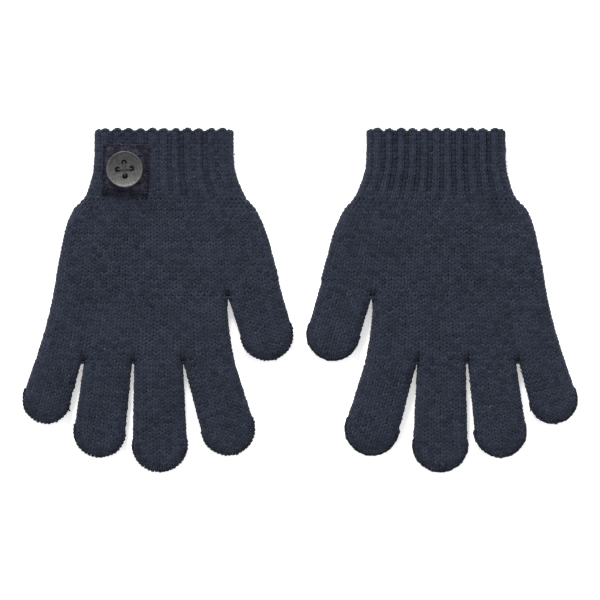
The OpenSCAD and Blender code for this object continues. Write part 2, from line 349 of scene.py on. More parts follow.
class KnitSurface:
    """The two faces of a glove that lies flat, as heights over the plane, in mm, on the +X side."""

    def __init__(self, plan: GlovePlan, rib_depth: float, folds: tuple[float, ...], phase: float) -> None:
        """Works out the outline.

        Args:
            plan: Sizes of the glove.
            rib_depth: Depth of the cuff's purl channels, in mm.
            folds: Numbers of the channels that lie folded in, deeper than the others.
            phase: Shifts the soft undulation, so that the two gloves differ.
        """
        self.plan = plan
        self.ribbing = Ribbing()
        self.rib_depth = rib_depth
        self.folds = folds
        self.phase = phase
        self.outline = self._outline()
        ys = np.linspace(plan.knuckle_y + 1.5, plan.cuff_top, 160)
        spans = plan.centre_x + np.array([self.span((plan.centre_x, y), (1.0, 0.0), 60) for y in ys])
        self._ys = np.append(plan.knuckle_y, ys)
        self._left = np.append(plan.palm_side[0][0], spans[:, 0])
        self._right = np.append(plan.outer_side[-1][0], spans[:, 1])

    def _outline(self) -> Array:
        """The outline from the cuff's outer corner round the digits to its inner corner.

        Returns:
            The points, as x and y.
        """
        plan = self.plan
        parts = [smooth_curve(plan.outer_side)]
        fingers = [d for d in plan.digits if d.square_root][::-1]
        for finger, following in zip(fingers, fingers[1:] + [None]):
            parts.append(np.vstack([finger.corner(1), finger.tip_arc(), finger.corner(-1)]))
            if following is not None:
                crotch = (finger.corner(-1) + following.corner(1)) / 2 + np.array([0, 0.7])
                parts.append(crotch[None])
        parts.append(smooth_curve(plan.palm_side))
        thumb = plan.digit("thumb")
        parts.append(np.vstack([thumb.tip_arc(), thumb.corner(-1)]))
        parts.append(smooth_curve(plan.heel_side))
        return np.vstack(parts)

    def distance(self, xy: Array) -> Array:
        """Distance of each place from the fold line round the glove; the cuff's mouth doesn't count.

        Args:
            xy: Places, as x and y.

        Returns:
            The distances, in mm.
        """
        flat = np.asarray(xy, float).reshape(-1, 2)
        a, b = self.outline[:-1], self.outline[1:]
        d = b - a
        size = np.maximum((d ** 2).sum(1), 1e-9)
        out = np.empty(len(flat))
        for i in range(0, len(flat), 4000):
            p = flat[i:i + 4000, None, :]
            t = np.clip(((p - a) * d).sum(2) / size, 0, 1)
            out[i:i + 4000] = np.sqrt((((a + t[..., None] * d) - p) ** 2).sum(2).min(1))
        return out.reshape(np.shape(xy)[:-1])

    def span(self, origin: tuple[float, float], direction: tuple[float, float], limit: float) -> tuple[float, float]:
        """How far the glove reaches from a place inside it, both ways along a line.

        Args:
            origin: The place, as x and y.
            direction: Unit direction of the line.
            limit: The furthest that it may reach, in mm.

        Returns:
            The reach against the direction, which is negative, and along it.
        """
        o, u = np.array(origin, float), np.array(direction, float)
        n = np.array([-u[1], u[0]])
        side = (self.outline - o) @ n
        along = (self.outline - o) @ u
        hit = np.nonzero(side[:-1] * side[1:] <= 0)[0]
        share = side[hit] / (side[hit] - side[hit + 1] + 1e-12)
        t = along[hit] + share * (along[hit + 1] - along[hit])
        low = max([x for x in t if x < 0] + [-limit])
        high = min([x for x in t if x > 0] + [limit])
        return low, high

    def sides(self, y: float | Array) -> tuple[Array, Array]:
        """Left and right edges of the hand and cuff at y."""
        return np.interp(y, self._ys, self._left), np.interp(y, self._ys, self._right)

    def rib_phase(self, x: Array, y: Array) -> Array:
        """Number of ribs between the cuff's thumb-side fold and x, so whole numbers are the purl channels.

        Args:
            x: Places across the cuff.
            y: Places along it.

        Returns:
            The phases.
        """
        left, right = self.sides(y)
        r = self.plan.edge_round

        def round_the_edge(d: Array) -> Array:
            """Length over the round edge, at a distance d inwards from it."""
            return np.where(d < r, r * np.arccos(1 - np.clip(d, 0, r) / r), r * math.pi / 2 + d - r)

        total = right - left + (math.pi - 2) * r
        along = np.where(x < (left + right) / 2, round_the_edge(x - left), total - round_the_edge(right - x))
        return along / total * self.plan.ribs

    def channel(self, xy: Array) -> Array:
        """How deep a place lies in the cuff's purl channels, in mm.

        Args:
            xy: Places, as x and y.

        Returns:
            The depths.
        """
        x, y = xy[..., 0], xy[..., 1]
        phase = self.rib_phase(x, y)
        near = np.abs(phase - np.round(phase))
        inside = np.minimum(phase, self.plan.ribs - phase)
        rib = self.ribbing
        depth = self.rib_depth * (1 - smooth_step(near, *rib.channel)) * smooth_step(y, *self.plan.rib_fade)
        depth = depth * (rib.least + (1 - rib.least) * np.sin(rib.wave * np.round(phase) + 3 * self.phase))
        depth = depth * (rib.by_the_edge + (1 - rib.by_the_edge) * smooth_step(inside, *self.plan.flat_ribs))
        for fold in self.folds:
            near_fold = 1 - smooth_step(np.abs(phase - fold), *rib.fold)
            depth = depth + rib.fold_depth * near_fold * smooth_step(y, *rib.fold_fade)
        return np.minimum(depth, self.plan.deepest)

    def half_height(self, y: Array) -> Array:
        """Half of the glove's height at y."""
        table = np.array(self.plan.heights)
        return np.interp(y, table[:, 0], table[:, 1]) / 2

    def height(self, xy: Array, face: Face, fold: Array | None = None) -> Array:
        """Height of a face of the glove over the surface that it lies on.

        Args:
            xy: Places, as x and y.
            face: Which face.
            fold: True where a place is on the fold line exactly.

        Returns:
            The heights, in mm.
        """
        xy = np.asarray(xy, float)
        x, y = xy[..., 0], xy[..., 1]
        d = self.distance(xy)
        if fold is not None:
            d = np.where(fold, 0.0, d)
        half = self.half_height(y)
        plan = self.plan
        if face is Face.TOP:
            shape = ((1 - plan.crown_share) * bulge(d / plan.edge_round)
                     + plan.crown_share * bulge(d / plan.crown_round))
            wave = (np.sin(x * 0.21 + y * 0.13 + self.phase) + np.sin(y * 0.24 - x * 0.09 + 2 * self.phase)) * 0.16
            return half * (1 + shape) + wave * bulge(d / 6) - self.channel(xy) * bulge(d / 2.5)
        return (half * (1 - bulge(d / (0.8 * plan.edge_round))) + plan.underside * bulge(d / 6)
                + 0.6 * self.channel(xy) * bulge(d / 2.5))


@dataclass
class Sites:
    """Places of stitches on a knitted piece: position, outward normal, direction along the wale, size and shade."""

    place: list[Array] = field(default_factory=list)
    normal: list[Array] = field(default_factory=list)
    along: list[Array] = field(default_factory=list)
    fit: list[Array] = field(default_factory=list)
    shade: list[Array] = field(default_factory=list)
    kind: list[Array] = field(default_factory=list)

    def add(self, place: Array, normal: Array, along: Array, fit: Array, shade: Array, kind: Stitch) -> None:
        """Adds stitches of one kind.

        Args:
            place: Positions in mm, one row each.
            normal: Outward directions.
            along: Directions along the wale, towards the cuff.
            fit: Width, length and depth in mm.
            shade: Lightness of the yarn, from 0 to 1.
            kind: The stitch.
        """
        if len(place):
            self.place.append(place)
            self.normal.append(normal)
            self.along.append(along)
            self.fit.append(fit)
            self.shade.append(shade)
            self.kind.append(np.full(len(place), kind.value))

    def mesh(self, name: str, side: int) -> Object:
        """The places as an object of loose points that carry their stitch as attributes.

        Args:
            name: Name of the object.
            side: -1 mirrors the places to the -X side.

        Returns:
            The object, in metres.
        """
        flip = np.array([side, 1, 1])
        place = np.vstack(self.place) * flip * MM
        me = bpy.data.meshes.new(name)
        me.vertices.add(len(place))
        me.vertices.foreach_set("co", place.astype(np.float32).ravel())
        for label, rows, scale in (("normal_dir", self.normal, flip), ("wale_dir", self.along, flip),
                                   ("fit", self.fit, np.full(3, MM))):
            att = me.attributes.new(label, "FLOAT_VECTOR", "POINT")
            att.data.foreach_set("vector", (np.vstack(rows) * scale).astype(np.float32).ravel())
        me.attributes.new("shade", "FLOAT", "POINT").data.foreach_set(
            "value", np.concatenate(self.shade).astype(np.float32))
        me.attributes.new("kind", "INT", "POINT").data.foreach_set(
            "value", np.concatenate(self.kind).astype(np.int32))
        ob = bpy.data.objects.new(name, me)
        bpy.context.scene.collection.objects.link(ob)
        return ob


def unit(v: Array) -> Array:
    """Rows of v at length 1."""
    return v / np.maximum(np.linalg.norm(v, axis=-1, keepdims=True), 1e-9)


@dataclass(frozen=True)
class Row:
    """A line across a knitted tube: a place on its middle line, its direction, the wales' direction and its reach."""

    origin: Array
    across: Array
    axis: Array
    reach: tuple[float, float]
    lean: float = 0.0

    def at(self, t: Array) -> Array:
        """Places at the distances t along the row, as x and y."""
        return self.origin + t[:, None] * self.across + (self.lean * t)[:, None] * self.axis

    def spread(self, steps: int) -> Array:
        """Distances from end to end of the row, closer together towards its ends."""
        low, high = self.reach
        return (low + high) / 2 + (high - low) / 2 * np.sin(np.linspace(-math.pi / 2, math.pi / 2, steps + 1))


class Trace:
    """A row followed over one face of the glove; lengths along it start at its inner end."""

    def __init__(self, surface: KnitSurface, row: Row, face: Face) -> None:
        """Samples the row's heights and its length over the surface.

        Args:
            surface: The glove's two faces.
            row: The row.
            face: Which face it is followed over.
        """
        self.row, self.face = row, face
        self.t = row.spread(120)
        xy = row.at(self.t)
        fold = np.zeros(len(self.t), bool)
        fold[[0, -1]] = surface.distance(xy[[0, -1]]) < 0.3
        self.z = surface.height(xy, face, fold)
        step = np.hypot(np.diff(self.t), np.diff(self.z)) + 1e-9
        self.length = np.concatenate([[0], np.cumsum(step)])
        self.total = float(self.length[-1])
        self.phase = surface.rib_phase(xy[:, 0], xy[:, 1])

    def spot(self, u: Array) -> Array:
        """Places at the lengths u."""
        t = np.interp(u, self.length, self.t)
        return np.column_stack([self.row.at(t), np.interp(u, self.length, self.z)])

    def over(self, u: Array) -> Array:
        """Directions along the row at the lengths u."""
        return unit(self.spot(np.minimum(u + 0.25, self.total)) - self.spot(np.maximum(u - 0.25, 0)))


@dataclass
class Course:
    """Stitches of one row, with the same wales' lengths along the rows before and after it."""

    here: Trace
    u: Array
    width: Array
    back: Array | None
    ahead: Array | None


class KnitLayer:
    """Lays stitches in courses over a knitted surface."""

    def __init__(self, surface: KnitSurface, gauge: Gauge, seed: int) -> None:
        """Keeps the surface, the gauge and a fixed random source.

        Args:
            surface: The glove's two faces.
            gauge: Sizes of the knit.
            seed: Fixes the random source.
        """
        self.surface = surface
        self.gauge = gauge
        self.random = np.random.default_rng(seed)

    def shade(self, count: int) -> Array:
        """Lightness of each stitch's yarn."""
        return np.clip(self.random.normal(self.gauge.shade, self.gauge.shade_spread, count), 0, 1)

    def lay(self, sites: Sites, course: Course, kind: Stitch, keep: Keep, tone: float = 0.0) -> None:
        """Stitches of one kind along a row.

        Args:
            sites: Where the stitches are added.
            course: Their places along the row.
            kind: The stitch.
            keep: Says which places, as x and y, belong to the piece.
            tone: Added to the lightness of their yarn; on the cuff it is painted light on the ribs and painted shade
                in the channels.
        """
        gauge, here = self.gauge, course.here
        place = here.spot(course.u)
        back = place if course.back is None else course.back
        ahead = place if course.ahead is None else course.ahead
        along = unit(back - ahead)
        normal = unit(here.face.value * np.cross(here.over(course.u), along))
        use = keep(place[:, :2])
        count = int(use.sum())
        if not count:
            return
        place = place[use] + self.random.normal(0, gauge.wander, (count, 3)) * np.array([1, 1, gauge.rise])
        normal, along, width = normal[use], along[use], course.width[use]
        fit = np.column_stack([width, np.full(count, gauge.course), np.full(count, gauge.depth)])
        sites.add(place, normal, along, fit, np.clip(self.shade(count) + tone, 0, 1), kind)
        fuzzy = (self.random.random(count) < gauge.fuzz) & (place[:, 2] > gauge.fuzz_above)
        lean = unit(normal + self.random.normal(0, gauge.fibre_lean, (count, 3)))
        turn = unit(self.random.normal(0, 1, (count, 3)))
        size = np.column_stack([np.full((count, 2), gauge.fibre_width),
                                self.random.uniform(*gauge.fibre_length, count)])
        sites.add((place - gauge.fibre_root * normal)[fuzzy], lean[fuzzy], turn[fuzzy], size[fuzzy],
                  np.full(int(fuzzy.sum()), 1.0), Stitch.FIBRE)

    def courses(self, sites: Sites, rows: list[Row], wales: int, keep: Keep, fan: int | None = None) -> None:
        """Courses of knit stitches on both faces of a tube.

        Args:
            sites: Where the stitches are added.
            rows: Rows across the tube, in the direction of the fingertips.
            wales: Number of wales on one face.
            keep: Says which places, as x and y, belong to the piece.
            fan: Number of rows in which the wales spread over the tube's width; past them the wales run
                straight and end at its edges.
        """
        fan = len(rows) if fan is None else fan
        for face in Face:
            traces = [Trace(self.surface, row, face) for row in rows]
            share = (np.arange(wales) + 0.5) / wales
            pitch = traces[0].total / wales
            for k, here in enumerate(traces):
                if k < fan:
                    pitch = here.total / wales
                    wanted = [share * trace.total for trace in traces]
                else:
                    wanted = [trace.total / 2 + (share - 0.5) * wales * pitch for trace in traces]
                u = wanted[k]
                inside = (u > 0.1 * pitch) & (u < here.total - 0.1 * pitch)
                back = None if k == 0 else traces[k - 1].spot(wanted[k - 1][inside])
                ahead = None if k == len(traces) - 1 else traces[k + 1].spot(wanted[k + 1][inside])
                room = 2 * np.minimum(u, here.total - u)
                width = np.clip(room, 0.6 * pitch, pitch) if k >= fan else np.full(wales, pitch)
                self.lay(sites, Course(here, u[inside], width[inside], back, ahead), Stitch.KNIT, keep)

    def rib_courses(self, sites: Sites, rows: list[Row], keep: Keep) -> None:
        """Courses of the ribbing: two knit wales on each rib and a purl in each channel, on both faces.

        Args:
            sites: Where the stitches are added.
            rows: Rows across the cuff, in the direction of the hand.
            keep: Says which places, as x and y, belong to the piece.
        """
        ribs, rib, deep = self.surface.plan.ribs, self.surface.ribbing, self.surface.rib_depth
        knit = np.sort([k + 0.5 + side * rib.knit_off for k in range(ribs) for side in (-1, 1)])
        for face in Face:
            traces = [Trace(self.surface, row, face) for row in rows]
            purl = np.arange(0.0, ribs + 1) if face is Face.TOP else np.arange(1.0, ribs)
            # Painted light and shade: the knit on the ribs is painted lighter and the purl in the channels darker,
            # more so where the channels are deeper.
            for spots, share, kind, tone in ((knit, rib.knit_width, Stitch.KNIT, rib.knit_tone * deep),
                                             (purl, rib.purl_width, Stitch.PURL, rib.purl_tone * deep)):
                wanted = [np.interp(spots, trace.phase, trace.length) for trace in traces]
                for k, here in enumerate(traces):
                    back = None if k == 0 else traces[k - 1].spot(wanted[k - 1])
                    ahead = None if k == len(traces) - 1 else traces[k + 1].spot(wanted[k + 1])
                    width = np.full(len(spots), share * here.total / ribs)
                    self.lay(sites, Course(here, wanted[k], width, back, ahead), kind, keep, tone)

    def shell(self, name: str, rows: list[Row], side: int, tip: Array | None = None) -> Object:
        """The cloth under the stitches: a tube with a wall, open where it joins the next piece.

        Args:
            name: Name of the object.
            rows: Rows across the tube, from one end to the other.
            side: -1 mirrors the tube to the -X side.
            tip: Where a closed end comes to a point, as x, y and z.

        Returns:
            The object, in metres.
        """
        steps = 44
        layers = []
        for inset in (self.gauge.sink, self.gauge.sink + self.gauge.fabric):
            rings = []
            for row in rows:
                t = row.spread(steps)
                xy = row.at(t)
                middle, reach = np.mean(row.reach), (row.reach[1] - row.reach[0]) / 2
                half = self.surface.half_height(xy[:, 1])
                narrow = row.at(middle + (t - middle) * max(1 - inset / reach, 0.1))
                scale = np.maximum(1 - inset / half, 0.1)
                top = half + (self.surface.height(xy, Face.TOP) - half) * scale
                under = half + (self.surface.height(xy, Face.UNDER) - half) * scale
                ring = np.vstack([np.column_stack([narrow, top]),
                                  np.column_stack([narrow, under])[-2:0:-1]])
                rings.append(ring)
            layers.append(rings)
        return tube_with_wall(name, layers[0], layers[1], side, tip)


# ---------------------------------------------------------------- meshes in plain code


def new_mesh(name: str, verts: Array, faces: Faces, uvs: Array | None = None,
             shade: float = 0.0) -> Object:
    """A mesh object at the origin.

    Args:
        name: Name of the object.
        verts: Corners in metres.
        faces: Faces as corner numbers.
        uvs: One place on the yarn map for each corner.
        shade: Lightness of the yarn, kept on every corner.

    Returns:
        The object, with smooth faces that point outwards.
    """
    me = bpy.data.meshes.new(name)
    me.from_pydata([tuple(v) for v in verts], [], faces)
    if uvs is not None:
        layer = me.uv_layers.new(name="yarn")
        corner = np.empty(len(me.loops), np.int32)
        me.loops.foreach_get("vertex_index", corner)
        layer.data.foreach_set("uv", np.asarray(uvs, np.float32)[corner].ravel())
    me.attributes.new("shade", "FLOAT", "POINT").data.foreach_set("value", np.full(len(verts), shade, np.float32))
    me.polygons.foreach_set("use_smooth", np.ones(len(me.polygons), bool))
    me.update()
    ob = bpy.data.objects.new(name, me)
    bpy.context.scene.collection.objects.link(ob)
    return ob


def faces_out(verts: Array, faces: Faces) -> Faces:
    """The faces of a closed shape, turned so that they point outwards.

    Args:
        verts: Corners.
        faces: Faces, all turned the same way.

    Returns:
        The faces.
    """
    volume = 0.0
    for face in faces:
        a = verts[face[0]]
        for b, c in zip(face[1:], face[2:]):
            volume += float(np.dot(a, np.cross(verts[b], verts[c])))
    return faces if volume > 0 else [face[::-1] for face in faces]


def ring_faces(rings: int, around: int) -> Faces:
    """Faces of a closed shape made of rings between two end points.

    Args:
        rings: Number of rings.
        around: Corners of each ring.

    Returns:
        The faces; one end point is the first corner and the other the last.
    """
    last = 1 + rings * around
    faces: Faces = []
    for i in range(around):
        j = (i + 1) % around
        faces += [(0, 1 + j, 1 + i), (last, last - around + i, last - around + j)]
        faces += [(p + i, p + j, p + around + j, p + around + i) for p in range(1, last - around, around)]
    return faces


def tube_with_wall(name: str, outer: list[Array], inner: list[Array], side: int,
                   tip: Array | None) -> Object:
    """A closed shape between an outer and an inner stack of rings, in mm.

    Args:
        name: Name of the object.
        outer: Rings of the outside.
        inner: Rings of the inside, as many as outside.
        side: -1 mirrors the shape to the -X side.
        tip: Where the outside of a closed end comes to a point; the other end is open.

    Returns:
        The object, in metres.
    """
    size, count = len(outer[0]), len(outer)
    verts = [*outer, *inner]
    faces: Faces = []
    bands = [(k, k + 1) for k in range(count - 1)] + [(count + k + 1, count + k) for k in range(count - 1)]
    bands += [(count, 0)] + ([(count - 1, 2 * count - 1)] if tip is None else [])
    for a, b in bands:
        for i in range(size):
            j = (i + 1) % size
            faces.append((a * size + i, a * size + j, b * size + j, b * size + i))
    if tip is not None:
        for layer, turn in ((count - 1, 1), (2 * count - 1, -1)):
            point = 2 * count * size + (layer > count)
            verts.append((tip if turn > 0 else tip + 0.5 * (inner[-1].mean(0) - tip))[None])
            for i in range(size):
                corners = (layer * size + i, layer * size + (i + 1) % size, point)
                faces.append(corners[::turn])
    points = np.vstack(verts) * np.array([side, 1, 1]) * MM
    # Shade 0.1 makes the cloth darker than the stitches: painted shade in the gaps between them.
    return new_mesh(name, points, faces_out(points, faces), shade=0.1)


def spindle(path: Array, radius: Array, sides: int, squash: float = 1.0) -> Shape:
    """A yarn along a path that thins to a point at both ends.

    Args:
        path: Points of the path.
        radius: Radius at each point; the first and last aren't used.
        sides: Number of sides.
        squash: Share of the radius that is kept along Z.

    Returns:
        Corners, faces and yarn map places.
    """
    tangent = unit(np.gradient(path, axis=0))
    side = unit(np.cross(tangent, [0.0, 0.0, 1.0]))
    return spindle_along(path, radius, sides, side, squash * np.cross(side, tangent))


def spindle_along(path: Array, radius: Array, sides: int, side: Array,
                  up: Array) -> Shape:
    """A yarn along a path that thins to a point at both ends, with its own two directions across the path.

    Args:
        path: Points of the path.
        radius: Radius at each point; the first and last aren't used.
        sides: Number of sides.
        side: First direction across the path, at each point.
        up: Second direction across it.

    Returns:
        Corners, faces and yarn map places.
    """
    verts, uvs = [path[0]], [(0.5, 0.0)]
    for k in range(1, len(path) - 1):
        for i in range(sides):
            a = 2 * math.pi * i / sides
            verts.append(path[k] + radius[k] * (math.cos(a) * side[k] + math.sin(a) * up[k]))
            uvs.append((i / sides, k / (len(path) - 1)))
    verts.append(path[-1])
    uvs.append((0.5, 1.0))
    return np.array(verts), ring_faces(len(path) - 2, sides), np.array(uvs)


def joined(parts: list[Shape]) -> Shape:
    """Several shapes as one set of corners, faces and yarn map places.

    Args:
        parts: The shapes.

    Returns:
        The whole shape.
    """
    verts, faces, uvs, start = [], [], [], 0
    for v, f, uv in parts:
        verts.append(v)
        uvs.append(uv)
        faces += [tuple(i + start for i in face) for face in f]
        start += len(v)
    return np.vstack(verts), faces, np.vstack(uvs)


def add_node(tree: NodeTree, kind: str, inputs: dict[str | int, object] | None = None,
             **settings: object) -> Node:
    """Adds a node to a tree.

    Args:
        tree: The tree.
        kind: Type of the node.
        inputs: The socket or the value that goes into each input, by the input's name or number.
        settings: The node's own settings.

    Returns:
        The node.
    """
    made = tree.nodes.new(kind)
    for label, value in settings.items():
        setattr(made, label, value)
    for label, value in (inputs or {}).items():
        if isinstance(value, NodeSocket):
            tree.links.new(value, made.inputs[label])
        else:
            made.inputs[label].default_value = value
    return made


class StitchShapes:
    """The yarn shapes at unit size: one wale wide along X, one course long along Y and one depth high along Z."""

    def __init__(self) -> None:
        """Makes one object for each stitch in a collection of their own."""
        self.box = bpy.data.collections.new("stitch_shapes")
        bpy.context.scene.collection.children.link(self.box)
        for kind, shape in ((Stitch.KNIT, self.knit()), (Stitch.PURL, self.purl()), (Stitch.LOOP, self.loop()),
                            (Stitch.FIBRE, self.fibre())):
            ob = new_mesh(f"stitch_{kind.value}_{kind.name.lower()}", *shape, shade=0.0)
            ob.data.attributes.remove(ob.data.attributes["shade"])
            bpy.context.scene.collection.objects.unlink(ob)
            self.box.objects.link(ob)

    @staticmethod
    def knit() -> Shape:
        """Two legs of a knit stitch, in a V whose point is towards the fingertips.

        Returns:
            The shape.
        """
        legs = []
        for side in (-1, 1):
            t = np.linspace(-1, 1, 6)
            x = side * (0.235 + 0.135 * t + 0.03 * np.sin(math.pi * t))
            y = 0.98 * t + 0.04
            z = -0.32 - 0.62 * t ** 2 - 0.05 * t
            radius = 0.245 * np.sqrt(np.maximum(1 - 0.82 * t ** 2, 0))
            legs.append(spindle(np.column_stack([x, y, z]), radius, 6, squash=1.5))
        return joined(legs)

    @staticmethod
    def purl() -> Shape:
        """The low bar of a purl stitch, across the channel.

        Returns:
            The shape.
        """
        t = np.linspace(-1, 1, 5)
        path = np.column_stack([0.56 * t, 0.12 * (1 - t ** 2), -0.34 - 0.16 * t ** 2])
        return spindle(path, 0.74 * np.sqrt(np.maximum(1 - 0.45 * t ** 2, 0)), 6, squash=0.34)

    @staticmethod
    def loop() -> Shape:
        """A plump bead of yarn, as it shows where a loop is cast off or a tip is closed.

        Returns:
            The shape.
        """
        t = np.linspace(-1, 1, 6)
        path = np.column_stack([0.46 * t, 0.16 * np.sin(math.pi * t), 0.18 * (1 - t ** 2) - 0.3])
        return spindle(path, 0.42 * np.sqrt(np.maximum(1 - 0.85 * t ** 2, 0)), 6, squash=1.0)

    @staticmethod
    def fibre() -> Shape:
        """A loose fibre that rises from the yarn and bends over; its length is the depth.

        Returns:
            The shape.
        """
        t = np.linspace(0, 1, 5)
        path = np.column_stack([0.0 * t, 5.0 * t ** 2, t - 0.25 * t ** 2])
        tangent = unit(np.gradient(path, axis=0))
        side = np.tile([1.0, 0.0, 0.0], (len(t), 1))
        return spindle_along(path, np.array([0, 0.5, 0.45, 0.3, 0]), 3, side, np.cross(side, tangent))


class StitchTree:
    """The node tree that sets a yarn shape on every place of a knit."""

    INPUTS = (("Width factor", 1.0), ("Length factor", 1.0), ("Depth factor", 1.0), ("Size jitter", 0.07),
              ("Turn jitter", 0.10))
    SEED = 11

    def __init__(self, shapes: StitchShapes) -> None:
        """Builds the tree once; every knitted piece uses it.

        Args:
            shapes: The yarn shapes.
        """
        self.shapes = shapes
        tree = bpy.data.node_groups.new("stitches on a knit", "GeometryNodeTree")
        self.tree = tree
        face = tree.interface
        face.new_socket("Geometry", in_out="INPUT", socket_type="NodeSocketGeometry")
        self.ids: dict[str, str] = {}
        for label, value in self.INPUTS:
            socket = face.new_socket(label, in_out="INPUT", socket_type="NodeSocketFloat")
            socket.default_value = value
            self.ids[label] = socket.identifier
        seed = face.new_socket("Seed", in_out="INPUT", socket_type="NodeSocketInt")
        seed.default_value = self.SEED
        self.ids["Seed"] = seed.identifier
        for label, kind in (("Shell", "NodeSocketObject"), ("Material", "NodeSocketMaterial")):
            self.ids[label] = face.new_socket(label, in_out="INPUT", socket_type=kind).identifier
        face.new_socket("Geometry", in_out="OUTPUT", socket_type="NodeSocketGeometry")
        self._fill(tree)

    def _fill(self, tree: NodeTree) -> None:
        """Adds the nodes and links them.

        Args:
            tree: The empty tree.
        """
        entry, node = tree.nodes.new("NodeGroupInput").outputs, partial(add_node, tree)

        def attribute(name: str, data_type: str = "FLOAT_VECTOR") -> NodeSocket:
            """Reads an attribute of the places."""
            return node("GeometryNodeInputNamedAttribute", {"Name": name}, data_type=data_type).outputs["Attribute"]

        def spread(label: str, offset: int) -> NodeSocket:
            """Makes a random number for each place.

            Args:
                label: The input that says how far it goes both ways.
                offset: Added to the tree's seed.

            Returns:
                Its socket.
            """
            low = node("ShaderNodeMath", {0: entry[label], 1: -1.0}, operation="MULTIPLY").outputs[0]
            seed = node("ShaderNodeMath", {0: entry["Seed"], 1: float(offset)}, operation="ADD").outputs[0]
            return node("FunctionNodeRandomValue", {2: low, 3: entry[label], "Seed": seed},
                        data_type="FLOAT").outputs[1]

        shapes = node("GeometryNodeCollectionInfo", {"Collection": self.shapes.box, "Separate Children": True,
                                                     "Reset Children": True}, transform_space="RELATIVE")
        aim = node("FunctionNodeAxesToRotation", {"Primary Axis": attribute("normal_dir"),
                                                  "Secondary Axis": attribute("wale_dir")},
                   primary_axis="Z", secondary_axis="Y")
        tilt = node("ShaderNodeCombineXYZ", {"X": spread("Turn jitter", 1), "Z": spread("Turn jitter", 2)})
        to_turn = node("FunctionNodeEulerToRotation", {0: tilt.outputs[0]})
        turned = node("FunctionNodeRotateRotation", {"Rotation": aim.outputs[0], "Rotate By": to_turn.outputs[0]},
                      rotation_space="LOCAL")
        factor = node("ShaderNodeCombineXYZ", {"X": entry["Width factor"], "Y": entry["Length factor"],
                                               "Z": entry["Depth factor"]})
        sized = node("ShaderNodeVectorMath", {0: attribute("fit"), 1: factor.outputs[0]}, operation="MULTIPLY")
        about_one = node("ShaderNodeMath", {0: spread("Size jitter", 3), 1: 1.0}, operation="ADD")
        scale = node("ShaderNodeVectorMath", operation="SCALE")
        tree.links.new(sized.outputs[0], scale.inputs[0])
        tree.links.new(about_one.outputs[0], scale.inputs["Scale"])
        place = node("GeometryNodeInstanceOnPoints",
                     {"Points": entry["Geometry"], "Instance": shapes.outputs[0], "Pick Instance": True,
                      "Instance Index": attribute("kind", "INT"), "Rotation": turned.outputs[0],
                      "Scale": scale.outputs[0]})
        shell = node("GeometryNodeObjectInfo", {"Object": entry["Shell"]}, transform_space="RELATIVE")
        both = node("GeometryNodeJoinGeometry", {0: shell.outputs["Geometry"]})
        tree.links.new(place.outputs[0], both.inputs[0])
        real = node("GeometryNodeRealizeInstances", {0: both.outputs[0]})
        paint = node("GeometryNodeSetMaterial", {"Geometry": real.outputs[0], "Material": entry["Material"]})
        node("NodeGroupOutput", {0: paint.outputs[0]})

    def bake(self, name: str, sites: Object, material: Material,
             shell: Object | None = None, **inputs: float) -> Object:
        """Runs the tree on places and keeps the result as a plain mesh.

        Args:
            name: Name of the piece.
            sites: Object of loose points, which is used up.
            material: The finish of the whole piece.
            shell: The cloth under the stitches, which is used up.
            inputs: Values for the tree's named inputs.

        Returns:
            The piece.
        """
        modifier = sites.modifiers.new("stitches", "NODES")
        modifier.node_group = self.tree
        for label, value in inputs.items():
            modifier[self.ids[label.replace("_", " ").capitalize()]] = value
        modifier[self.ids["Material"]] = material
        if shell is not None:
            modifier[self.ids["Shell"]] = shell
        bpy.context.view_layer.update()
        graph = bpy.context.evaluated_depsgraph_get()
        mesh = bpy.data.meshes.new_from_object(sites.evaluated_get(graph), depsgraph=graph)
        mesh.name = name
        for label in ("normal_dir", "wale_dir", "fit", "kind"):
            if label in mesh.attributes:
                mesh.attributes.remove(mesh.attributes[label])
        piece = bpy.data.objects.new(name, mesh)
        bpy.context.scene.collection.objects.link(piece)
        for used in (sites, shell):
            if used is not None:
                bpy.data.objects.remove(used)
        return piece


# ---------------------------------------------------------------- finishes


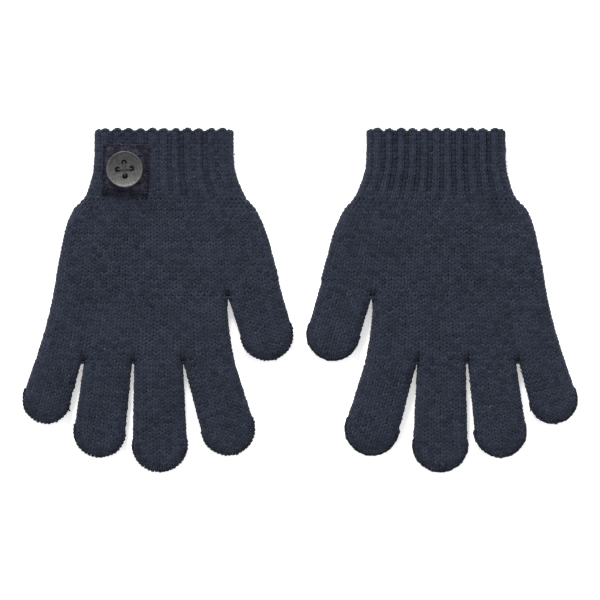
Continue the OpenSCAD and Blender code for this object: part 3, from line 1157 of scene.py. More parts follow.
class NodePen:
    """Short calls for writing a material's nodes."""

    def __init__(self, name: str) -> None:
        """Starts an empty material.

        Args:
            name: Name of the material.
        """
        self.material = bpy.data.materials.new(name)
        self.material.use_nodes = True
        self.tree = self.material.node_tree
        self.tree.nodes.clear()
        self.surface = add_node(self.tree, "ShaderNodeBsdfPrincipled")
        add_node(self.tree, "ShaderNodeOutputMaterial", {0: self.surface.outputs[0]})
        self.place = add_node(self.tree, "ShaderNodeTexCoord").outputs["Object"]

    def link(self, source: NodeSocket, target: NodeSocket) -> None:
        """Joins two sockets."""
        self.tree.links.new(source, target)

    def noise(self, size_mm: float, detail: float = 2.0, rough: float = 0.5,
              vector: NodeSocket | None = None) -> NodeSocket:
        """A soft noise whose grain is about size_mm across."""
        inputs = {"Scale": 1 / (size_mm * MM), "Detail": detail, "Roughness": rough, "Vector": vector or self.place}
        return add_node(self.tree, "ShaderNodeTexNoise", inputs).outputs[0]

    def stretched(self, factors: tuple[float, float, float]) -> NodeSocket:
        """Object coordinates scaled along each axis."""
        return add_node(self.tree, "ShaderNodeMapping", {"Scale": factors, "Vector": self.place}).outputs[0]

    def attribute(self, name: str) -> NodeSocket:
        """A number kept on the mesh."""
        return add_node(self.tree, "ShaderNodeAttribute", attribute_name=name).outputs["Fac"]

    def math(self, operation: str, a: NodeSocket | float, b: NodeSocket | float = 0.0,
             clamp: bool = False) -> NodeSocket:
        """One step of arithmetic on sockets and numbers; clamp keeps its result between 0 and 1."""
        return add_node(self.tree, "ShaderNodeMath", {0: a, 1: b}, operation=operation, use_clamp=clamp).outputs[0]

    def stretch(self, value: NodeSocket, low: float, high: float, to_low: float = 0.0,
                to_high: float = 1.0) -> NodeSocket:
        """A value moved from one range to another and kept inside it."""
        ends = {"From Min": low, "From Max": high, "To Min": to_low, "To Max": to_high}
        return add_node(self.tree, "ShaderNodeMapRange", {"Value": value, **ends}).outputs[0]

    def blend(self, factor: NodeSocket, a: Colour | NodeSocket, b: Colour | NodeSocket) -> NodeSocket:
        """A colour between a, where factor is 0, and b, where it is 1."""
        a, b = ((*colour, 1.0) if isinstance(colour, tuple) else colour for colour in (a, b))
        return add_node(self.tree, "ShaderNodeMix", {0: factor, 6: a, 7: b}, data_type="RGBA").outputs[2]

    def bump(self, height: NodeSocket, strength: float, distance_mm: float) -> None:
        """Raises the surface by a height.

        Args:
            height: The height, from 0 to 1.
            strength: Share of the effect.
            distance_mm: Height of the relief.
        """
        made = add_node(self.tree, "ShaderNodeBump",
                        {"Strength": strength, "Distance": distance_mm * MM, "Height": height})
        self.link(made.outputs[0], self.surface.inputs["Normal"])

    def weighted(self, *parts: tuple[NodeSocket, float]) -> NodeSocket:
        """A sum of values, each times its weight, kept between 0 and 1.

        Args:
            parts: The values with their weights.

        Returns:
            The sum.
        """
        shares = [self.math("MULTIPLY", value, weight) for value, weight in parts]
        total = shares[0]
        for share in shares[1:]:
            total = self.math("ADD", total, share, clamp=share is shares[-1])
        return total

    def paint(self, colour: NodeSocket) -> None:
        """Gives the surface its colour."""
        self.link(colour, self.surface.inputs["Base Color"])

    def set(self, **values: float | Colour) -> None:
        """Sets uniform values on the shader's own sockets.

        Args:
            values: The sockets' names, in lower case, and their values.
        """
        for label, value in values.items():
            socket = self.surface.inputs[label.replace("_", " ").title().replace("Ior", "IOR")]
            socket.default_value = (*value, 1.0) if isinstance(value, tuple) else value


@dataclass(frozen=True)
class YarnFinish:
    """A heathered acrylic yarn: twisted plies, loose fibres and a shade that changes from stitch to stitch."""

    name: str
    deep: Colour
    pale: Colour
    fleck: Colour
    fibre_mm: float = 0.22
    cloud_mm: float = 14.0
    twists: float = 2.6
    relief: float = 0.55

    def material(self) -> Material:
        """The finish as a material.

        Returns:
            The material.
        """
        pen = NodePen(self.name)
        fibre = pen.noise(self.fibre_mm, detail=3, rough=0.65)
        cloud = pen.noise(self.cloud_mm, detail=3)
        around = add_node(pen.tree, "ShaderNodeUVMap", uv_map="yarn")
        split = add_node(pen.tree, "ShaderNodeSeparateXYZ", {0: around.outputs[0]})
        turns = pen.math("ADD", pen.math("MULTIPLY", split.outputs["X"], 2.0),
                         pen.math("MULTIPLY", split.outputs["Y"], self.twists))
        ply = pen.math("ABSOLUTE", pen.math("SINE", pen.math("MULTIPLY", turns, math.pi)))
        # The ply term makes the yarn lighter on each ply's crest and darker in the grooves between plies: painted
        # shade.
        tone = pen.weighted((pen.attribute("shade"), 0.46), (pen.stretch(fibre, 0.3, 0.7), 0.34),
                            (pen.stretch(cloud, 0.3, 0.7), 0.12), (ply, 0.10))
        base = pen.blend(tone, self.deep, self.pale)
        sparks = pen.stretch(pen.noise(self.fibre_mm * 2.6, detail=1), 0.62, 0.72)
        pen.paint(pen.blend(pen.math("MULTIPLY", sparks, 0.38), base, self.fleck))
        pen.set(roughness=0.95, sheen_weight=0.06, sheen_roughness=0.5, specular_ior_level=0.08)
        height = pen.math("ADD", pen.math("MULTIPLY", ply, 0.55), fibre)
        pen.bump(height, self.relief, 0.12)
        return pen.material


@dataclass(frozen=True)
class ElasticFinish:
    """Covered elastic yarn."""

    name: str = "covered_elastic"
    deep: Colour = (0.006, 0.007, 0.012)
    pale: Colour = (0.016, 0.019, 0.030)
    wrap_mm: float = 0.5

    def material(self) -> Material:
        """The finish as a material.

        Returns:
            The material.
        """
        pen = NodePen(self.name)
        wrap = pen.noise(self.wrap_mm, detail=2, vector=pen.stretched((1.0, 0.4, 0.4)))
        pen.paint(pen.blend(pen.stretch(wrap, 0.35, 0.65), self.deep, self.pale))
        pen.set(roughness=0.9, specular_ior_level=0.1)
        pen.bump(wrap, 0.5, 0.1)
        return pen.material


@dataclass(frozen=True)
class FeltFinish:
    """Black felt with a soft nap and a few paler fibres."""

    name: str = "black_felt"
    deep: Colour = (0.0045, 0.0050, 0.0105)
    pale: Colour = (0.0500, 0.0490, 0.0780)
    fleck: Colour = (0.070, 0.072, 0.100)
    nap_mm: float = 0.6

    def material(self) -> Material:
        """The finish as a material.

        Returns:
            The material.
        """
        pen = NodePen(self.name)
        nap = pen.noise(self.nap_mm, detail=4, rough=0.7)
        clumps = pen.noise(self.nap_mm * 5, detail=2)
        tone = pen.weighted((pen.stretch(nap, 0.35, 0.65), 0.5), (pen.stretch(clumps, 0.38, 0.62), 0.5))
        base = pen.blend(tone, self.deep, self.pale)
        sparks = pen.math("MULTIPLY", pen.attribute("shade"), 0.5)
        pen.paint(pen.blend(sparks, base, self.fleck))
        pen.set(roughness=1.0, sheen_weight=0.05, sheen_roughness=0.5, specular_ior_level=0.1)
        pen.bump(nap, 0.8, 0.3)
        return pen.material


@dataclass(frozen=True)
class GunmetalFinish:
    """Dark aged metal: a cloudy patina, fine pits and scratches, paler where the rim is rubbed and, as painted light,
    on the side of the dish that faces the lamp.
    """

    name: str = "gunmetal"
    deep: Colour = (0.003, 0.003, 0.003)
    pale: Colour = (0.046, 0.046, 0.045)
    # The paler metal colour: real rub on the rim, and painted light on the lamp's side of the dish.
    rubbed: Colour = (0.125, 0.125, 0.120)
    cloud_mm: float = 2.4
    pit_mm: float = 0.5

    def material(self) -> Material:
        """The finish as a material.

        Returns:
            The material.
        """
        pen = NodePen(self.name)
        cloud = pen.noise(self.cloud_mm, detail=4, rough=0.65)
        pits = pen.noise(self.pit_mm, detail=3, rough=0.6)
        scratches = pen.noise(self.pit_mm * 1.3, detail=1, vector=pen.stretched((0.25, 2.2, 1.0)))
        tone = pen.weighted((pen.stretch(cloud, 0.38, 0.62), 0.40), (pen.stretch(pits, 0.42, 0.60), 0.48),
                            (pen.stretch(scratches, 0.45, 0.7), 0.12))
        base = pen.blend(tone, self.deep, self.pale)
        # The shade attribute marks paler metal: rub on the rim and painted light on the side of the dish that faces
        # the lamp.
        worn = pen.math("MULTIPLY", pen.attribute("shade"), pen.stretch(pits, 0.42, 0.60, 0.5, 1.4), clamp=True)
        pen.paint(pen.blend(worn, base, self.rubbed))
        pen.set(metallic=0.45)
        pen.link(pen.stretch(cloud, 0.3, 0.7, 0.62, 0.48), pen.surface.inputs["Roughness"])
        pen.bump(pen.math("ADD", pits, pen.math("MULTIPLY", scratches, 0.5)), 0.7, 0.12)
        return pen.material


@dataclass(frozen=True)
class FloorFinish:
    """A plain white studio floor, lit a little from below so that shadows stay faint."""

    name: str = "studio_floor"
    colour: Colour = (0.95, 0.95, 0.95)
    glow: float = 0.40

    def material(self) -> Material:
        """The finish as a material.

        Returns:
            The material.
        """
        pen = NodePen(self.name)
        pen.set(base_color=self.colour, emission_color=self.colour, emission_strength=self.glow, roughness=1.0,
                specular_ior_level=0.0)
        return pen.material


@dataclass(frozen=True)
class Finishes:
    """Every finish of the pair, ready to use."""

    knit: Material
    seam: Material
    elastic: Material
    felt: Material
    metal: Material
    thread: Material

    @classmethod
    def mixed(cls) -> Finishes:
        """The finishes in the colours of this pair.

        Returns:
            The finishes.
        """
        return cls(
            knit=YarnFinish("navy_yarn", (0.0042, 0.0055, 0.0112), (0.0235, 0.0290, 0.0470),
                            (0.085, 0.098, 0.125)).material(),
            seam=YarnFinish("navy_seam_yarn", (0.0042, 0.0052, 0.0105), (0.0190, 0.0230, 0.0390),
                            (0.065, 0.075, 0.10)).material(),
            elastic=ElasticFinish().material(),
            felt=FeltFinish().material(),
            metal=GunmetalFinish().material(),
            thread=YarnFinish("grey_thread", (0.018, 0.018, 0.019), (0.06, 0.06, 0.06), (0.12, 0.12, 0.12),
                              fibre_mm=0.12, twists=5.0).material())


# ---------------------------------------------------------------- a glove


def hand_in(piece: Object, node: str, body: str | None = None) -> Object:
    """Puts a piece in place of a CAD node: hides the node and, if a body is given, parents the piece to it.

    Args:
        piece: The piece.
        node: The CAD node in whose place it comes.
        body: The body that it rides on, if any.

    Returns:
        The piece.
    """
    if body is not None:
        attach(piece, body)
    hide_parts(node)
    return piece


@dataclass(frozen=True)
class FoldZones:
    """Where the fabric bends at a joint, in mm."""

    cuff_start: float = 38.0
    cuff_end: float = 46.4
    digit_length: float = 8.0
    lean_length: float = 14.0
    thumb_overlap: float = 0.7
    height: float = 5.0


class Glove:
    """One knitted glove, made in the sections that the machine knits."""

    def __init__(self, hand: Hand, surface: KnitSurface, tree: StitchTree, finishes: Finishes, seed: int) -> None:
        """Keeps what every section needs.

        Args:
            hand: Which glove of the pair.
            surface: Its two faces.
            tree: The node tree that sets the stitches.
            finishes: The finishes of the pair.
            seed: Fixes the stitches' small differences.
        """
        self.hand = hand
        self.surface = surface
        self.plan = surface.plan
        self.tree = tree
        self.finishes = finishes
        self.gauge = Gauge()
        self.layer = KnitLayer(surface, self.gauge, seed)
        self.zones = FoldZones()
        self.cast_off = CastOff()
        self.seam = TipSeam()
        self.seed = seed

    def build(self) -> list[Object]:
        """Makes every section and returns them.

        Returns:
            The pieces.
        """
        pieces = [self.cuff(), self.cuff_edge(), self.lower_palm(), self.upper_palm()]
        for digit in self.plan.digits:
            pieces += [self.digit(digit), self.tip_seam(digit)]
        pieces.append(self.crotch_ties())
        return pieces

    def name(self, part: str) -> str:
        """Name of a node or body of this glove."""
        return f"{self.hand.prefix}_{part}"

    def place(self, x: float, y: float, z: float | None = None) -> tuple[float, float, float]:
        """A place of the +X glove on this glove, in metres."""
        return (self.hand.value * x * MM, y * MM, (self.zones.height if z is None else z) * MM)

    def hand_row(self, y: float, low: float | None = None) -> Row:
        """The row across the hand or cuff at y.

        Args:
            y: Place along the glove.
            low: Where the row starts, if not at the edge.

        Returns:
            The row.
        """
        left, right = (float(v) for v in self.surface.sides(y))
        left = left if low is None else max(left, low)
        middle = (left + right) / 2
        return Row(np.array([middle, y]), np.array([1.0, 0.0]), np.array([0.0, -1.0]),
                   (left - middle, right - middle))

    def even_rows(self, high: float, low: float) -> list[Row]:
        """The rows of the courses that fill the hand or cuff.

        Args:
            high: Where the courses start, towards the cuff's edge.
            low: Where they end.

        Returns:
            One row for each course.
        """
        count = round((high - low) / self.gauge.course)
        pitch = (high - low) / count
        return [self.hand_row(high - (k + 0.5) * pitch) for k in range(count)]

    def cloth(self, part: str, rows: list[Row], tip: Array | None = None) -> Object:
        """The cloth under the stitches of a part."""
        return self.layer.shell(self.name(f"{part}_shell"), rows, self.hand.value, tip)

    def knitted(self, part: str, sites: Sites, shell: Object, offset: int) -> Object:
        """Sets the stitches of a part.

        Args:
            part: Name of the part, without the hand.
            sites: Places of its stitches.
            shell: The cloth under them.
            offset: Added to the glove's seed.

        Returns:
            The piece.
        """
        return self.tree.bake(self.name(f"{part}_knit"), sites.mesh(f"{part}_sites", self.hand.value),
                              self.finishes.knit, shell, Seed=self.seed + offset)

    def thumb_cut(self, y: float | Array) -> float | Array:
        """Where the line across the thumb's root is at y.

        Args:
            y: Place along the glove.

        Returns:
            The place across it.
        """
        thumb = self.plan.digit("thumb")
        x, crotch_y = self.plan.thumb_crotch
        return x - np.maximum(y - crotch_y, 0) * abs(thumb.axis[1] / thumb.axis[0])

    def finish(self, piece: Object, part: str, body: str | None = None) -> Object:
        """Puts a piece of this glove in place of its CAD node; part and body are named without the hand."""
        return hand_in(piece, self.name(part), body and self.name(body))

    def cuff(self) -> Object:
        """The ribbing from the wrist line to the cast-off edge.

        Returns:
            The piece.
        """
        plan, sites = self.plan, Sites()
        self.layer.rib_courses(sites, self.even_rows(plan.edge_y, plan.wrist_y), everywhere)
        rows = [self.hand_row(y) for y in np.linspace(plan.wrist_y, plan.edge_y, 20)]
        piece = self.knitted("cuff", sites, self.cloth("cuff", rows), 0)
        self.bend_with_cuff(piece)
        return self.finish(piece, "cuff")

    def bend_with_cuff(self, piece: Object) -> None:
        """Bakes a piece's transform into its mesh; it doesn't bend the piece where the cuff folds against the hand.

        Args:
            piece: The piece.
        """
        self.name("hand")
        self.name("cuff_body")
        self.place(self.plan.centre_x, self.zones.cuff_start)
        self.place(self.plan.centre_x, self.zones.cuff_end)
        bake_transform(piece)

    def cuff_edge(self) -> Object:
        """The cast-off edge: a last course and a chain of loops that dips between the ribs.

        Returns:
            The piece.
        """
        plan, sites, chain, surface = self.plan, Sites(), self.cast_off, self.surface
        self.layer.rib_courses(sites, [self.hand_row(plan.edge_y - y) for y in chain.courses], everywhere)
        top_y = plan.cuff_top - chain.below_top
        for face in Face:
            trace = Trace(surface, self.hand_row(top_y), face)
            spots = np.arange(chain.first, plan.ribs, chain.step)
            u = np.interp(spots, trace.phase, trace.length)
            place = trace.spot(u)
            place[:, 1] -= self.scallop(spots)
            outward = unit(face.value * np.cross(trace.over(u), [0.0, 1.0, 0.0]))
            corner = 1 - smooth_step(np.minimum(spots, plan.ribs - spots), *chain.corner_fade)
            place = place - (chain.inset + chain.corner_inset * corner)[:, None] * outward
            normal = unit(outward + np.outer(chain.tilt + chain.corner_tilt * corner, [0.0, 1.0, 0.0]))
            width = np.full(len(u), (trace.length[-1] - trace.length[0]) / plan.ribs * chain.width)
            fit = np.column_stack([width, chain.length + chain.corner_length * corner,
                                   chain.depth + chain.corner_depth * corner])
            beside = np.column_stack([normal[:, 2], 0 * u, -normal[:, 0]])
            sites.add(place, normal, unit(np.cross(normal, beside)), fit, self.layer.shade(len(u)), Stitch.LOOP)
        end = top_y - chain.shell_end
        shell = self.cloth("edge", [self.hand_row(y) for y in (plan.edge_y, plan.edge_y + chain.shell_rise, end)])
        co = np.array([v.co for v in shell.data.vertices])
        share = np.clip((co[:, 1] / MM - plan.edge_y) / (end - plan.edge_y), 0, 1)
        phase = surface.rib_phase(co[:, 0] / MM * self.hand.value, co[:, 1] / MM)
        co[:, 1] -= share * self.scallop(phase) * MM
        shell.data.vertices.foreach_set("co", co.astype(np.float32).ravel())
        piece = self.knitted("cuff_edge", sites, shell, 1)
        return self.finish(piece, "cuff_edge", "cuff_body")

    def scallop(self, phase: Array) -> Array:
        """How far the edge dips at a rib phase, in mm: between the ribs, and at the cuff's two corners.

        Args:
            phase: The rib phases.

        Returns:
            The dips.
        """
        chain, inside = self.cast_off, np.minimum(phase, self.plan.ribs - phase)
        uneven = chain.uneven * (1 + np.sin(self.surface.ribbing.wave * phase + self.surface.phase))
        corner = chain.corner_dip * (1 - smooth_step(inside, 0.0, 1.0)) + uneven
        between = (1 - np.abs(np.sin(math.pi * phase))) ** chain.dip_power
        return chain.dip * between * smooth_step(inside, *chain.dip_fade) + corner

    def lower_palm(self) -> Object:
        """The hand from the wrist to the thumb's crotch, with the root of the thumb.

        Returns:
            The piece.
        """
        plan, sites = self.plan, Sites()
        crotch_y = plan.thumb_crotch[1]
        self.layer.courses(sites, self.even_rows(plan.wrist_y, crotch_y), plan.lower_wales,
                           lambda xy: xy[:, 0] > self.thumb_cut(xy[:, 1]) - self.zones.thumb_overlap)
        rows = [self.hand_row(y, float(self.thumb_cut(y))) for y in np.linspace(crotch_y, plan.wrist_y, 26)]
        piece = self.knitted("lower_palm", sites, self.cloth("lower", rows), 2)
        self.bend_with_cuff(piece)
        return self.finish(piece, "lower_palm")

    def upper_palm(self) -> Object:
        """The hand from the thumb's crotch to the roots of the four fingers.

        Returns:
            The piece.
        """
        plan, sites = self.plan, Sites()
        crotch_y = plan.thumb_crotch[1]
        self.layer.courses(sites, self.even_rows(crotch_y, plan.knuckle_y), plan.upper_wales, everywhere)
        rows = [self.hand_row(y) for y in np.linspace(plan.knuckle_y, crotch_y - 0.02, 18)]
        piece = self.knitted("upper_palm", sites, self.cloth("upper", rows), 3)
        return self.finish(piece, "upper_palm", "hand")

    def digit_row(self, digit: Digit, s: float, limit: float = 14.0) -> Row:
        """The row across a digit at s along it; near the root it leans to lie along the root line.

        Args:
            digit: The digit.
            s: Distance along it, in mm.
            limit: The furthest that the row may reach.

        Returns:
            The row.
        """
        origin = digit.at(s, 0.0)
        lean = float(digit.root_line(1.0)) * float(1 - smooth_step(np.array(s), 0.0, self.zones.lean_length))
        toward = digit.across + lean * digit.axis
        size = float(np.linalg.norm(toward))
        low, high = self.surface.span(tuple(origin), tuple(toward / size), limit)
        return Row(origin, digit.across, digit.axis, (low / size, high / size), lean)

    def digit(self, digit: Digit) -> Object:
        """A thumb or finger, from its root line to its closed tip.

        Args:
            digit: The digit.

        Returns:
            The piece.
        """
        sites, gauge = Sites(), self.gauge
        reach = digit.length + digit.tip[2]
        count = int((reach - 0.8) / gauge.course)
        courses = [self.digit_row(digit, (k + 0.3) * gauge.course) for k in range(count)]
        fan = int(digit.length / gauge.course)
        self.layer.courses(sites, courses, self.plan.digit_wales, everywhere, fan)
        self.close_tip(digit, sites)
        rows = [self.digit_row(digit, s, digit.root[2] + 0.6) for s in (0.02, 1.4, 2.8, 4.2, 5.6, 7.0)]
        rows += [self.digit_row(digit, s) for s in np.linspace(8.6, digit.length, 9)]
        sink = digit.tip[2] - 0.6
        rows += [self.digit_row(digit, digit.length + sink * math.sin(a))
                 for a in np.radians([18, 34, 48, 60, 71, 81])]
        end = np.append(digit.at(reach - gauge.sink - 0.3, 0.0), self.surface.half_height(digit.tip[1]))
        piece = self.knitted(digit.name, sites, self.cloth(digit.name, rows, end), 4)
        start = np.array(digit.root[:2])
        toward = np.array([0.0, -1.0]) if digit.square_root else digit.axis
        stop = start + self.zones.digit_length * toward
        self.name("hand")
        self.name(f"{digit.name}_body")
        self.place(*start)
        self.place(*stop)
        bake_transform(piece)
        return self.finish(piece, digit.name)

    def close_tip(self, digit: Digit, sites: Sites) -> None:
        """Fills the round side of a tip, between its two faces, with stitches that stand on their edge.

        Args:
            digit: The digit.
            sites: Where the stitches are added.
        """
        half, turn = float(self.surface.half_height(digit.tip[1])), self.seam.edge_turn
        for level in self.seam.edge_levels:
            arc = digit.tip_arc(26, -0.15 - turn * abs(level), 78)
            outward = unit(arc - np.array(digit.tip[:2]))
            count = len(arc)
            normal = np.column_stack([outward, np.full(count, turn * level)])
            along = np.column_stack([outward * -turn * level, np.full(count, 1.0)])
            place = np.column_stack([arc, np.full(count, half * (1 + level))])
            fit = np.tile([*self.seam.edge_size, self.gauge.depth], (count, 1))
            sites.add(place, unit(normal), unit(along), fit, self.layer.shade(count), Stitch.KNIT)

    def tip_seam(self, digit: Digit) -> Object:
        """The loops of yarn that close a tip, laid over its edge.

        Args:
            digit: The digit.

        Returns:
            The piece.
        """
        sites, seam, draw = Sites(), self.seam, np.random.default_rng(self.seed + 40 + len(digit.name))
        count = int(2 * math.radians(seam.spread) * digit.tip[2] / seam.pitch)
        arc = digit.tip_arc(count - 1, seam.out, seam.spread)
        outward = unit(arc - np.array(digit.tip[:2]))
        half = float(self.surface.half_height(digit.tip[1]))
        round_tip = np.column_stack([-outward[:, 1], outward[:, 0], np.full(count, seam.lean)])
        z = half + draw.normal(*seam.height, count)
        place = np.column_stack([arc + outward * draw.normal(0.0, seam.wander, (count, 1)), z])
        normal = np.column_stack([outward, draw.normal(*seam.rise, count)])
        fit = np.column_stack([draw.uniform(*size, count) for size in (seam.width, seam.length, seam.depth)])
        sites.add(place, unit(normal), unit(round_tip), fit, self.layer.shade(count), Stitch.LOOP)
        if digit.name == "little":
            self.loose_end(digit, sites)
        piece = self.tree.bake(self.name(f"{digit.name}_closing_yarn"), sites.mesh("seam_sites", self.hand.value),
                               self.finishes.seam, None, Seed=self.seed + 5, Turn_jitter=0.10, Size_jitter=0.08)
        return self.finish(piece, f"{digit.name}_seam", f"{digit.name}_body")

    def loose_end(self, digit: Digit, sites: Sites) -> None:
        """The short end of the closing yarn beside the little finger.

        Args:
            digit: The little finger.
            sites: Where its yarn is added.
        """
        base = digit.at(digit.length + 1.2, -digit.tip[2] + 0.1)
        for k, (out, size) in enumerate(((0.0, 1.4), (0.5, 1.2), (0.9, 0.9))):
            spot = base - out * digit.across + 0.35 * k * digit.axis
            direction = unit(np.append(-digit.across + 0.3 * digit.axis, 0.1))
            place = np.append(spot, 4.0 + 0.3 * k)
            sites.add(place[None], np.array([[0.0, 0.0, 1.0]]), np.cross([0.0, 0.0, 1.0], direction)[None],
                      np.array([[size, 0.6, 0.6]]), np.array([0.7]), Stitch.LOOP)

    def crotch_ties(self) -> Object:
        """The short tight stitches that close the knit at the four crotches, on both faces.

        Returns:
            The piece.
        """
        sites, draw = Sites(), np.random.default_rng(self.seed + 70)
        fingers = [d for d in self.plan.digits if d.square_root]
        spots = [((a.corner(1) + b.corner(-1)) / 2, np.array([0.0, 1.0])) for a, b in zip(fingers, fingers[1:])]
        away = unit(np.array([0.35, 1.0]))
        for spot, _ in spots:
            for level in (0.5, 0.95, 1.4):
                place = np.append(spot + np.array([0, 0.15]), level * float(self.surface.half_height(spot[1])))
                # Shade 0.3: stitches in the slit at each finger crotch are painted darker, as painted shade in the
                # crease.
                sites.add(place[None], np.array([[0.0, -1.0, 0.0]]), np.array([[0.0, 0.0, 1.0]]),
                          np.array([[2.2, 3.4, 1.2]]), np.array([0.3]), Stitch.LOOP)
        spots.append((np.array(self.plan.thumb_crotch), away))
        for spot, up in spots:
            for face in Face:
                for k in range(6):
                    xy = spot + (0.9 + 0.8 * k) * up + draw.normal(0, 0.08, 2)
                    z = max(float(self.surface.height(xy[None], face)[0]) + face.value * 0.05, 0.45)
                    size = np.array([[1.25 - 0.12 * k, 1.1, 0.8]])
                    # Shade 0.15: the ties along each crotch are painted darker, as painted shade along the crease.
                    sites.add(np.append(xy, z)[None], np.array([[0.0, 0.0, float(face.value)]]),
                              np.append(up, 0.0)[None], size, np.array([0.15]), Stitch.LOOP)
        piece = self.tree.bake(self.name("crotch_stitches"), sites.mesh("tie_sites", self.hand.value),
                               self.finishes.seam, None, Seed=self.seed + 6, Turn_jitter=0.3)
        return self.finish(piece, "crotch_ties", "hand")


# ---------------------------------------------------------------- patch, button and thread


@dataclass(frozen=True)
class Lobe:
    """One ring of a lathed shape: radius and height, in mm, and how much it is rubbed."""

    radius: float
    height: float
    rubbed: float = 0.0


@dataclass(frozen=True)
class ButtonPlan:
    """Sizes of the patch, the button and its thread, in mm and degrees."""

    hole_at: float = 2.9
    hole_radius: float = 1.0
    hole_turn: float = 4.0
    dish: float = 0.75
    around: int = 120
    hole_around: int = 40
    # Painted light on the button: how much paler its metal is painted on the side of the dish that faces the lamp,
    # and how fast that falls off across it.
    bare: float = 0.62
    bare_power: float = 1.9
    patch_size: tuple[float, float] = (19.0, 20.4)
    patch_turn: float = -1.5
    patch_steps: tuple[int, int] = (60, 64)
    torn_in: tuple[float, ...] = (0.2, 0.6, 0.25, 0.8)
    felt: float = 1.25
    thin_edge: float = 0.62
    fibres: int = 3400
    edge_fibres: float = 0.42
    pale_fibres: float = 0.07
    fibre_width: float = 0.10
    fibre_length: tuple[float, float] = (0.4, 1.0)
    inside: float = 7.7
    strand_lift: float = 0.12
    coil: float = 3.7
    coil_turns: float = 3.5


